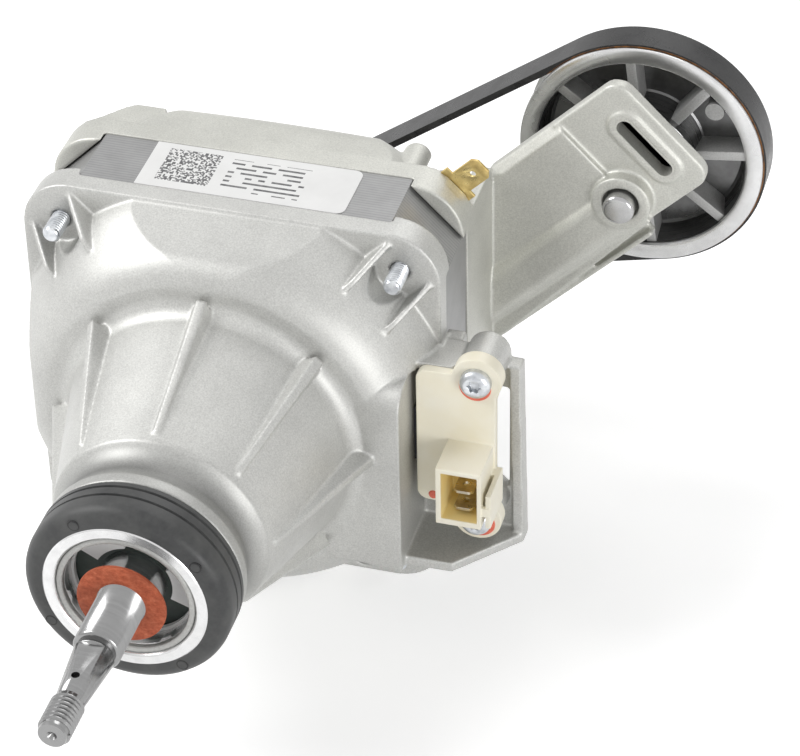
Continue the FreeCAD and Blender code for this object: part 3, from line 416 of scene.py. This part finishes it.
cream_plastic = moulded_plastic("cream_connector_plastic", (0.92, 0.86, 0.68), (0.96, 0.92, 0.79), 0.36)
# painted glow: the socket's inside faces get a bright amber colour for light shining through its thin walls
painted_glow_plastic = moulded_plastic("painted_glow_socket_inside", (0.93, 0.70, 0.24), (0.97, 0.82, 0.42), 0.4)
grey_plastic = moulded_plastic("grey_retainer_plastic", (0.66, 0.67, 0.67), (0.78, 0.79, 0.78), 0.5)
black_plastic = moulded_plastic("black_cap_plastic", (0.02, 0.02, 0.02), (0.05, 0.05, 0.05), 0.5)
print("plastics ready")

# %% [markdown]
# The fan side washer is pressed red fibre: felt-like, with short darker and lighter fibres.
# %% Red fibre
red_fibre, tree, shader, place = new_finish("pressed_red_fibre", 0.8)
fibres = noise(tree, place, 650.0, 5.0, 0.75, (1.0, 3.0, 1.4))
reds = [(0.28, (0.30, 0.055, 0.022)), (0.5, (0.47, 0.105, 0.045)), (0.75, (0.66, 0.20, 0.10))]
blots = grey_ramp(tree, noise(tree, place, 180.0), 0.78, 1.05)
colour_with(tree, shader, blend(tree, 1.0, ramp(tree, fibres, reds), blots, "MULTIPLY"))
bump(tree, shader, fibres, 0.00012, 0.7)
print("washer:", red_fibre.name)

# %% [markdown]
# The brass earth blade and the tinned contacts are stamped sheet, a little tarnished in patches. The
# enamelled copper of the coils and the grey magnets, both inside, are made in the same way.
# %% Brass, tin plate, copper and magnets
def sheet_metal(name, low, high, roughness):
    material, tree, shader, place = new_finish(name, roughness, 0.95)
    tarnish = noise(tree, place, 260.0, 5.0, 0.65)
    colour_with(tree, shader, ramp(tree, tarnish, [(0.32, low), (0.68, high)]))
    tree.links.new(grey_ramp(tree, tarnish, roughness + 0.14, roughness - 0.06), shader.inputs["Roughness"])
    bump(tree, shader, noise(tree, place, 900.0, 2.0, 0.6, (1.0, 1.0, 0.15)), 0.00003, 0.5)
    return material


tab_brass = sheet_metal("stamped_brass", (0.46, 0.33, 0.12), (0.78, 0.62, 0.28), 0.30)
tin_plate = sheet_metal("tinned_contact_sheet", (0.42, 0.38, 0.30), (0.74, 0.70, 0.60), 0.30)
winding_copper = sheet_metal("enamelled_copper", (0.42, 0.14, 0.05), (0.72, 0.30, 0.14), 0.28)
magnet_grey = sheet_metal("sintered_magnet", (0.10, 0.10, 0.11), (0.22, 0.22, 0.23), 0.45)
print("sheet metals ready")

# %% [markdown]
# Every node of the frame gets its finish now. Those that a finer piece replaces later keep it only
# as a stand-in.
# %% Finishes for the frame
dress(["front_housing"], front_cast)
dress(["rear_housing"], rear_cast)
dress(["stator_core"], stack_steel)
dress(["rotor_core"], dark_core)
dress(["rotor_magnets"], magnet_grey)
dress(["stator_coils"], winding_copper)
dress(["stator_insulators"], black_plastic)
dress(["rotor_shaft"], shaft_steel)
dress(["front_bearing_outer_ring", "front_bearing_inner_ring", "front_bearing_balls"], bearing_steel)
dress(["rear_bearing_outer_ring", "rear_bearing_inner_ring", "rear_bearing_balls"], bearing_steel)
dress(["pulley_bearing_outer_rings", "pulley_bearing_inner_rings", "pulley_bearing_balls"], bearing_steel)
dress(["preload_washer", "shaft_collar"], bright_steel)
dress(["axle_retaining_ring", "axle_sleeves", "pulley_axle"], bright_steel)
dress(["shaft_seal"], seal_rubber)
dress(["seal_retainer"], grey_plastic)
dress(["fibre_washer"], red_fibre)
dress(["nose_ring"], ring_rubber)
dress(["nose_sleeve"], bright_steel)
dress(["motor_pulley", "large_pulley"], machined_aluminium)
dress(["drive_belt"], belt_rubber)
dress(["through_bolts", "connector_screws"], zinc_plate)
dress(["earth_tab", "connector_blades"], tab_brass)
dress(["connector_housing", "rating_label"], cream_plastic)
dress(["phase_leads", "lead_grommet"], lead_cover)
print("materials:", len(bpy.data.materials))

# %% [markdown]
# Each piece below is finished in the same way: a bmesh is turned into an object that sits at the
# origin, gets its material, rides on its body, and stands for the frame nodes that it replaces. Small
# helpers copy a frame mesh with its seams closed, add a short cylinder that points along Y, pour one
# bmesh into another, and give a turn about the Y axis.
# %% Piece helpers
to_y = Matrix.Rotation(math.radians(90), 3, "X")
flat_angle = math.radians(0.8)


def about_y(degrees):
    return Matrix.Rotation(math.radians(degrees), 3, "Y")


def finish_piece(work, name, materials, body, stands_for=(), smooth=35.0):
    mesh = bpy.data.meshes.new(name)
    work.to_mesh(mesh)
    work.free()
    for material in materials:
        mesh.materials.append(material)
    piece = bpy.data.objects.new(name, mesh)
    bpy.context.scene.collection.objects.link(piece)
    mesh.shade_smooth()
    mesh.set_sharp_from_angle(angle=math.radians(smooth))
    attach(piece, body)
    if stands_for:
        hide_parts(*stands_for)
    print(name, len(mesh.polygons), "faces")


def merged_copy(node):
    work = bmesh.new()
    work.from_mesh(nodes[node].data)
    bmesh.ops.remove_doubles(work, verts=work.verts, dist=0.000002)
    return work


def add_cylinder(work, radius, length, centre, segments, far_radius=None):
    if far_radius is None:
        far_radius = radius
    made = bmesh.ops.create_cone(work, cap_ends=True, segments=segments, radius1=radius / 1000.0,
                                 radius2=far_radius / 1000.0, depth=length / 1000.0)["verts"]
    bmesh.ops.rotate(work, verts=made, cent=(0, 0, 0), matrix=to_y)
    bmesh.ops.translate(work, verts=made, vec=mm(*centre))
    return made


def pour(source, target):
    mesh = bpy.data.meshes.new("poured")
    source.to_mesh(mesh)
    source.free()
    target.from_mesh(mesh)
    bpy.data.meshes.remove(mesh)


print("piece helpers ready")

# %% [markdown]
# The castings have no sharp edges: molten metal can't fill them, and blasting rounds what is left.
# Beveling a shape with so many meeting ribs leaves creases, so the castings are melted instead: a
# copy of the frame's mesh is rebuilt from small voxels, smoothed a little so that every inner
# corner gets its fillet, and thinned where it is flat.
# %% Melted castings
def melted_casting(node, name, voxel, rounds, share, materials, inner=None):
    work = merged_copy(node)
    mesh = bpy.data.meshes.new(name)
    work.to_mesh(mesh)
    work.free()
    piece = bpy.data.objects.new(name, mesh)
    bpy.context.scene.collection.objects.link(piece)
    remesh = piece.modifiers.new("voxels", "REMESH")
    remesh.mode, remesh.voxel_size = "VOXEL", voxel / 1000.0
    soften = piece.modifiers.new("soften", "SMOOTH")
    soften.factor, soften.iterations = 0.5, rounds
    thin = piece.modifiers.new("thin", "DECIMATE")
    thin.ratio = share
    bpy.context.view_layer.update()
    ready = bpy.data.meshes.new_from_object(piece.evaluated_get(bpy.context.evaluated_depsgraph_get()))
    piece.modifiers.clear()
    piece.data = ready
    ready.name = name
    ready.materials.clear()
    for material in materials:
        ready.materials.append(material)
    ready.shade_smooth()
    if inner is not None:
        for face in ready.polygons:
            if inner(face.center * 1000.0):
                face.material_index = 1
    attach(piece, "motor")
    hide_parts(node)
    print(name, len(ready.polygons), "faces")


melted_casting("front_housing", "front_casting", 0.42, 3, 0.20, [front_cast])
melted_casting("rear_housing", "rear_casting", 0.42, 3, 0.24, [rear_cast])

# %% [markdown]
# The stator stack shows between the two castings. It is pressed from 38 sheets of half a
# millimetre, so the outside of a copy of the frame's stack is cut at every sheet with bisect_plane.
# Every second ring of corners then goes in by two hundredths of a millimetre, which lets the sheets
# catch the light.
# %% Stack of sheets
stack_low, stack_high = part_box("stator_core")
stack_depth = stack_high.y - stack_low.y
sheet_count = 38
sheet_step = 0.00002
outside_radius = 0.046
octagon_sum = 1.7
stack = merged_copy("stator_core")
bmesh.ops.dissolve_limit(stack, angle_limit=flat_angle, verts=stack.verts, edges=stack.edges)
for index in range(1, sheet_count):
    cut_place = stack_low.y + stack_depth * index / sheet_count
    part = set()
    for face in stack.faces:
        middle = face.calc_center_median()
        if abs(face.normal.y) < 0.1 and math.hypot(middle.x, middle.z) > outside_radius:
            part.add(face)
            part.update(face.edges)
            part.update(face.verts)
    bmesh.ops.bisect_plane(stack, geom=list(part), dist=0.000001, plane_co=(0, cut_place, 0),
                           plane_no=(0, 1, 0))
for vert in stack.verts:
    x, z = vert.co.x, vert.co.z
    sheet = (vert.co.y - stack_low.y) / stack_depth * sheet_count
    if math.hypot(x, z) > outside_radius and 0.5 < sheet < sheet_count - 0.5 and round(sheet) % 2:
        reach = max(abs(x), abs(z), (abs(x) + abs(z)) / octagon_sum)
        vert.co.x -= sheet_step * x / reach
        vert.co.z -= sheet_step * z / reach
finish_piece(stack, "stator_stack", [stack_steel], "motor", ["stator_core"], 12.0)

# %% [markdown]
# The label is a white film with rounded corners on its right side. It carries only generic marks:
# a square of random speckles and rows of plain grey bars.
# %% Label finish
speckle_size = 0.00042
bar_length = 0.0017
speckle_gaps, bar_gaps = 0.48, 0.34
row_pitch, row_height = 0.0019, 0.00075
label_film, tree, shader, place = new_finish("white_label_film", 0.32)
shader.inputs["Coat Weight"].default_value = 0.3
parts = split(tree, place)


def times(tree, first, second):
    return maths(tree, "MULTIPLY", first, second)


def field(tree, x_low, x_high, y_low, y_high):
    """One inside a rectangle on the label, nought outside."""
    inside = None
    for value, low, high in ((parts["X"], x_low, x_high), (parts["Y"], y_low, y_high)):
        within = times(tree, maths(tree, "GREATER_THAN", value, low), maths(tree, "LESS_THAN", value, high))
        inside = within if inside is None else times(tree, inside, within)
    return inside


def random_cells(tree, place, size_x, size_y):
    snapped = add_node(tree, "ShaderNodeVectorMath", {0: place, 1: (size_x, size_y, 1.0)}, operation="SNAP")
    return add_node(tree, "ShaderNodeTexWhiteNoise", {"Vector": snapped.outputs[0]},
                    noise_dimensions="3D").outputs["Value"]


speckles = maths(tree, "GREATER_THAN", random_cells(tree, place, speckle_size, speckle_size), speckle_gaps)
speckles = times(tree, speckles, field(tree, -0.0215, -0.0080, 0.0862, 0.0997))
rows = maths(tree, "LESS_THAN", maths(tree, "MODULO", parts["Y"], row_pitch), row_height)
words = maths(tree, "GREATER_THAN", random_cells(tree, place, bar_length, row_pitch), bar_gaps)
bars = times(tree, times(tree, rows, words), field(tree, -0.0050, 0.0150, 0.0858, 0.0990))
faded = grey_ramp(tree, noise(tree, place, 900.0), 0.8, 1.0)
ink = times(tree, maths(tree, "MAXIMUM", speckles, bars), faded)
paper = ramp(tree, noise(tree, place, 120.0), [(0.3, (0.84, 0.84, 0.83)), (0.7, (0.90, 0.90, 0.89))])
colour_with(tree, shader, blend(tree, ink, paper, (0.05, 0.05, 0.055, 1.0)))
bump(tree, shader, noise(tree, place, 500.0, 2.0), 0.00002, 0.3)
print("label:", label_film.name)

# %% [markdown]
# The film itself starts as one quad. Its two right corners are rounded by a vertex bevel, and an
# extrude gives it its thickness.
# %% Label piece
low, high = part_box("rating_label")
label = bmesh.new()
outline = ((low.x, low.y), (high.x, low.y), (high.x, high.y), (low.x, high.y))
corners = [label.verts.new((x, y, low.z)) for x, y in outline]
label.faces.new(corners)
bmesh.ops.bevel(label, geom=corners[1:3], offset=0.0022, offset_type="OFFSET", segments=6, profile=0.5,
                affect="VERTICES", material=-1)
lifted = bmesh.ops.extrude_face_region(label, geom=list(label.faces))
bmesh.ops.translate(label, verts=[item for item in lifted["geom"] if isinstance(item, bmesh.types.BMVert)],
                    vec=(0, 0, high.z - low.z))
bmesh.ops.recalc_face_normals(label, faces=label.faces)
finish_piece(label, "data_label", [label_film], "motor", ["rating_label"])

# %% [markdown]
# Turned parts are spun: a helper draws half of the section as a chain of edges, given as radius and
# place along the axis, and spins it round. Another winds a small ridge into a helix, which lies on a
# plain core as a real screw thread.
# %% Spinning helpers
def spun(outline, steps=96, centre=(0.0, 0.0), closed=True):
    work = bmesh.new()
    chain = [work.verts.new(mm(centre[0] + r, y, centre[1])) for r, y in outline]
    for first, second in zip(chain, chain[1:]):
        work.edges.new((first, second))
    if closed:
        work.edges.new((chain[-1], chain[0]))
    bmesh.ops.spin(work, geom=list(work.verts) + list(work.edges), cent=mm(centre[0], 0, centre[1]),
                   axis=(0, 1, 0), angle=math.tau, steps=steps, use_merge=True)
    bmesh.ops.remove_doubles(work, verts=work.verts, dist=0.000001)
    bmesh.ops.recalc_face_normals(work, faces=work.faces)
    return work


def add_thread(work, radius, depth, pitch, start, end, centre=(0.0, 0.0), steps=28):
    turns = (end - start) / pitch
    root = radius - depth - 0.1
    section = ((root, -0.46 * pitch), (radius, -0.06 * pitch), (radius, 0.06 * pitch), (root, 0.46 * pitch))
    ridge = work.faces.new([work.verts.new(mm(centre[0] + r, start + y, centre[1])) for r, y in section])
    count = int(turns * steps)
    bmesh.ops.spin(work, geom=[ridge], cent=mm(centre[0], 0, centre[1]), axis=(0, 1, 0),
                   dvec=mm(0, (end - start) / count, 0), angle=math.tau * turns, steps=count)
    bmesh.ops.recalc_face_normals(work, faces=work.faces)


print("spinning helpers ready")

# %% [markdown]
# The shaft keeps the frame's shape with its flats, cross hole and centre mark. Only the plain tip
# is drawn in to just above the root of its thread, and a helix of 1.25 mm pitch goes round it.
# %% Shaft
core_radius = 3.45
core_start, core_end = -52.2, -41.2
centre_mark_reach = 3.0
shaft = merged_copy("rotor_shaft")
for vert in shaft.verts:
    reach = math.hypot(vert.co.x, vert.co.z)
    if core_start / 1000.0 < vert.co.y < core_end / 1000.0 and reach > centre_mark_reach / 1000.0:
        vert.co.x *= core_radius / 1000.0 / reach
        vert.co.z *= core_radius / 1000.0 / reach
thread = bmesh.new()
add_thread(thread, 4.0, 0.62, 1.25, -51.2, -41.9)
pour(thread, shaft)
finish_piece(shaft, "fan_shaft", [shaft_steel], "rotor", ["rotor_shaft"], 28.0)

# %% [markdown]
# The nose ring is a thick rubber tyre with two narrow grooves in its back half and a rounded front
# edge. Four small round marks from the mould stand on its face: each is a disc of the tyre's rubber
# on a slightly wider disc of the darker belt rubber, whose dark rim is painted shade for a groove
# round the mark.
# %% Nose ring
ring_outline = [(20.2, -5.0), (22.2, -5.0), (23.4, -4.75), (24.5, -3.95), (25.1, -2.9), (25.3, -1.8),
                (25.3, 0.9), (24.9, 1.05), (24.5, 1.3), (24.9, 1.55), (25.3, 1.7), (25.3, 3.9),
                (24.9, 4.05), (24.5, 4.3), (24.9, 4.55), (25.3, 4.7), (25.3, 5.8), (24.9, 6.2), (20.2, 6.2)]
nose_ring = spun(ring_outline, 128)
mark_circle = 22.1
for degrees in (120, 36, -54, -149):
    x, z = mark_circle * math.cos(math.radians(degrees)), mark_circle * math.sin(math.radians(degrees))
    # painted shade: the wider disc in darker rubber stands for the shade in a groove round each mark
    painted_groove_shade_disc = set(add_cylinder(nose_ring, 1.5, 0.6, (x, -4.72, z), 24))
    for face in nose_ring.faces:
        if set(face.verts) <= painted_groove_shade_disc:
            face.material_index = 1
    add_cylinder(nose_ring, 1.15, 0.7, (x, -4.75, z), 24)
finish_piece(nose_ring, "nose_tyre", [ring_rubber, belt_rubber], "motor", ["nose_ring"],
             40.0)

# %% [markdown]
# A bright steel sleeve lies inside the tyre. Inside it the machined lip of the casting shows, and
# five short stakes are struck into its edge, which hold the grey retainer.
# %% Nose sleeve and staked lip
sleeve_outline = [(17.0, -4.3), (17.35, -5.0), (17.7, -5.3), (19.9, -5.3), (20.2, -5.05), (20.2, 6.2),
                  (17.0, 6.2)]
sleeve = spun(sleeve_outline, 128)
finish_piece(sleeve, "nose_sleeve_ring", [bright_steel], "motor", ["nose_sleeve"], 30.0)
lip_outline = [(15.3, 0.8), (15.3, -3.3), (15.9, -4.4), (16.5, -4.75), (16.75, -4.4), (16.97, -3.6),
               (16.97, 0.8)]
lip = spun(lip_outline, 144)
stake_angles = (28, 98, 152, 196, 305)
stake_half_width = 6.0
stake_depth = 0.8
for vert in lip.verts:
    angle = math.degrees(math.atan2(vert.co.z, vert.co.x)) % 360.0
    apart = min(abs((angle - stake + 180.0) % 360.0 - 180.0) for stake in stake_angles)
    if apart < stake_half_width and math.hypot(vert.co.x, vert.co.z) < 0.0162 and vert.co.y < -0.0030:
        vert.co.y += stake_depth / 1000.0
        vert.co.x *= 0.98
        vert.co.z *= 0.98
finish_piece(lip, "staked_spigot_lip", [machined_aluminium], "motor", ["front_housing"], 18.0)

# %% [markdown]
# The red washer lies on the shaft, in front of the bearing. It is flat with softly broken edges.
# %% Fibre washer
washer_outline = [(5.85, -7.35), (6.0, -7.5), (10.7, -7.5), (10.85, -7.38), (10.85, -6.62), (10.7, -6.5),
                  (5.85, -6.5)]
washer = spun(washer_outline, 80)
finish_piece(washer, "red_fibre_washer", [red_fibre], "rotor", ["fibre_washer"], 40.0)

# %% [markdown]
# The through bolts are long flanged hexagon screws from the rear, and their threaded tips stand in
# the four pockets of the front casting. One is made at each corner, and all are poured together.
# %% Through bolts
bolt_half_pitch = 43.0
bolt_outline = [(0.0, 70.0), (1.7, 70.0), (2.0, 70.3), (2.0, 84.0), (2.3, 84.4), (2.3, 110.4), (4.7, 110.5),
                (5.0, 110.75), (5.0, 111.3), (4.4, 111.5), (0.0, 111.5)]


def one_bolt(x, z):
    bolt = spun(bolt_outline, 32, (x, z), closed=False)
    add_thread(bolt, 2.3, 0.36, 0.8, 70.5, 83.0, (x, z), 20)
    head = add_cylinder(bolt, 4.6, 3.7, (x, 113.25, z), 6)
    rim = [edge for edge in bolt.edges if edge.verts[0] in head and edge.verts[1] in head]
    bmesh.ops.bevel(bolt, geom=rim, offset=0.0003, offset_type="OFFSET", segments=2, profile=0.5,
                    affect="EDGES", clamp_overlap=True, material=-1)
    return bolt


bolts = bmesh.new()
for x in (-bolt_half_pitch, bolt_half_pitch):
    for z in (-bolt_half_pitch, bolt_half_pitch):
        pour(one_bolt(x, z), bolts)
finish_piece(bolts, "corner_bolts", [zinc_plate], "motor", ["through_bolts"], 30.0)

# %% [markdown]
# Stamped, moulded and machined pieces have small broken edges. A helper rolls the crisp edges of a
# copy of the frame's mesh with a narrow bevel.
# %% Rolled edges
def rolled(node, name, material, body, radius, crisp=40.0, steps=2):
    work = merged_copy(node)
    bmesh.ops.dissolve_limit(work, angle_limit=flat_angle, verts=work.verts, edges=work.edges)
    edges = [edge for edge in work.edges if len(edge.link_faces) == 2
             and edge.calc_face_angle(0.0) > math.radians(crisp)]
    bmesh.ops.bevel(work, geom=edges, offset=radius / 1000.0, offset_type="OFFSET", segments=steps,
                    profile=0.5, affect="EDGES", clamp_overlap=False, material=-1)
    finish_piece(work, name, [material], body, [node], 30.0)


print("edge helper ready")

# %% [markdown]
# Connector: a cream moulded block with two screw ears and a socket. Light glows amber in the
# socket, because the walls are thin there, so the inside faces get a deeper colour. The moulding is
# melted like the castings, from smaller voxels. Its screws, its blades and the brass earth blade
# beside it are metal, so their edges are rolled.
# %% Connector
# painted glow: picks the inside faces of the socket, which get the amber glow colour
def painted_glow_faces(centre):
    return 58.6 < centre.x < 68.0 and -12.5 < centre.z < 1.9 and 55.3 < centre.y < 66.4


melted_casting("connector_housing", "supply_connector", 0.17, 2, 0.24, [cream_plastic, painted_glow_plastic],
               painted_glow_faces)
rolled("connector_screws", "connector_star_screws", zinc_plate, "motor", 0.12)
rolled("connector_blades", "supply_blades", tin_plate, "motor", 0.08, 30.0, 1)
rolled("earth_tab", "earth_blade", tab_brass, "motor", 0.1, 30.0)

# %% [markdown]
# The large pulley is a casting with a web far behind its rim, eight thin spokes and one round lug
# for balance. Rim and hub are turned bright and the spokes are cast grey. The web inside is painted
# dark, as painted shade for the deep dish between the spokes. The rim and the hub with its drum belt
# wheel are spun from one outline.
# %% Spoked pulley
wheel_outline = [(26.7, 146.0), (27.0, 145.4), (27.5, 145.2), (30.7, 145.2), (31.05, 145.35), (31.2, 145.7),
                 (31.2, 146.1), (30.2, 146.15), (30.2, 155.35), (31.2, 155.4), (31.2, 156.4), (31.0, 156.6),
                 (14.4, 156.6), (14.4, 158.0), (13.0, 158.0), (13.0, 167.8), (14.4, 167.8), (14.4, 168.8),
                 (14.2, 169.0), (11.0, 169.0), (11.0, 144.4), (11.2, 144.2), (13.3, 144.2), (13.6, 144.5),
                 (14.4, 153.2), (14.9, 153.6), (24.4, 153.6), (25.2, 153.0)]
wheel = spun(wheel_outline, 160)
# painted shade: the web faces inside the rim take the dark web finish
for face in wheel.faces:
    centre = face.calc_center_median() * 1000.0
    if 13.5 < math.hypot(centre.x, centre.z) < 26.75 and 144.6 < centre.y < 155.0:
        face.material_index = 1
spoke_number, first_spoke = 8, 7.5
spoke_length, spoke_depth, spoke_thickness = 13.4, 7.4, 2.6
lug_angle = first_spoke + 33.0
spokes = bmesh.new()
for index in range(spoke_number):
    made = bmesh.ops.create_cube(spokes, size=1.0)["verts"]
    bmesh.ops.scale(spokes, verts=made, vec=mm(spoke_length, spoke_depth, spoke_thickness))
    bmesh.ops.translate(spokes, verts=made, vec=mm(20.1, 150.2, 0.0))
    turned_by = about_y(-first_spoke - 360.0 / spoke_number * index)
    bmesh.ops.rotate(spokes, verts=made, cent=(0, 0, 0), matrix=turned_by)
bmesh.ops.bevel(spokes, geom=list(spokes.edges), offset=0.0003, offset_type="OFFSET", segments=2, profile=0.5,
                affect="EDGES", material=-1)
lug = add_cylinder(spokes, 2.4, 7.4, (24.0, 150.0, 0.0), 32)
bmesh.ops.rotate(spokes, verts=lug, cent=(0, 0, 0), matrix=about_y(-lug_angle))
for work in (wheel, spokes):
    bmesh.ops.translate(work, verts=work.verts, vec=mm(axle_x, 0.0, axle_z))
finish_piece(wheel, "spoked_pulley", [machined_aluminium, painted_shade_web_metal], "pulley", ["large_pulley"],
             25.0)
finish_piece(spokes, "pulley_spokes", [spoke_cast], "pulley", ["large_pulley"], 30.0)

# %% [markdown]
# The small pulley and the axle keep the frame's shape with rolled edges, as both are turned and
# their corners broken.
# %% Small pulley and axle
rolled("motor_pulley", "shaft_pulley", machined_aluminium, "rotor", 0.3)
rolled("pulley_axle", "axle_pin", axle_steel, "motor", 0.25)

# %% [markdown]
# Both connector screws are locked with a drop of red lacquer, which shows as a thin crescent under
# each head, and one more drop sits on the lower left corner of the connector.
# %% Locking lacquer
lacquer, tree, shader, place = new_finish("red_locking_lacquer", 0.30)
reds = [(0.3, (0.72, 0.12, 0.07)), (0.7, (0.86, 0.20, 0.12))]
colour_with(tree, shader, ramp(tree, noise(tree, place, 700.0), reds))
drops = bmesh.new()
for x, z, radius, y in ((64.3, 19.95, 4.0, 66.85), (65.3, -21.9, 4.0, 66.85), (53.6, -15.4, 1.3, 66.9)):
    add_cylinder(drops, radius, 0.4, (x, y, z), 40, radius - 0.25)
finish_piece(drops, "lacquer_drops", [lacquer], "motor", [], 40.0)

# %% [markdown]
# The slot in the arm is punched after casting, so its wall is smooth and sharp: a thin obround
# sleeve, made from circles whose two halves are moved apart, lines it.
# %% Slot wall
slot_half_straight = 7.1
slot_middle = (103.0, -26.0)
wall_section = ((2.55, 126.25), (2.1, 126.25), (2.1, 130.6), (2.55, 130.6))


def obround(work, radius, y):
    ring = bmesh.ops.create_circle(work, cap_ends=False, radius=radius / 1000.0, segments=48)["verts"]
    bmesh.ops.rotate(work, verts=ring, cent=(0, 0, 0), matrix=to_y)
    for vert in ring:
        vert.co.z += math.copysign(slot_half_straight / 1000.0, 1.0 if vert.co.z > 0 else -1.0)
    bmesh.ops.translate(work, verts=ring, vec=mm(0, y, 0))
    return [edge for edge in work.edges if edge.verts[0] in ring and edge.verts[1] in ring]


slot_wall = bmesh.new()
loops = [obround(slot_wall, radius, y) for radius, y in wall_section]
for first, second in zip(loops, loops[1:] + loops[:1]):
    bmesh.ops.bridge_loops(slot_wall, edges=first + second)
bmesh.ops.recalc_face_normals(slot_wall, faces=slot_wall.faces)
bmesh.ops.rotate(slot_wall, verts=slot_wall.verts, cent=(0, 0, 0), matrix=about_y(-45.0))
bmesh.ops.translate(slot_wall, verts=slot_wall.verts, vec=from_arm(*slot_middle))
finish_piece(slot_wall, "arm_slot_wall", [rear_cast], "motor", ["rear_housing"], 30.0)

scene = bpy.context.scene
scene.view_settings.view_transform = "Standard"
low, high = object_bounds()
print("visual model", [round(value, 4) for value in (*low, *high)])
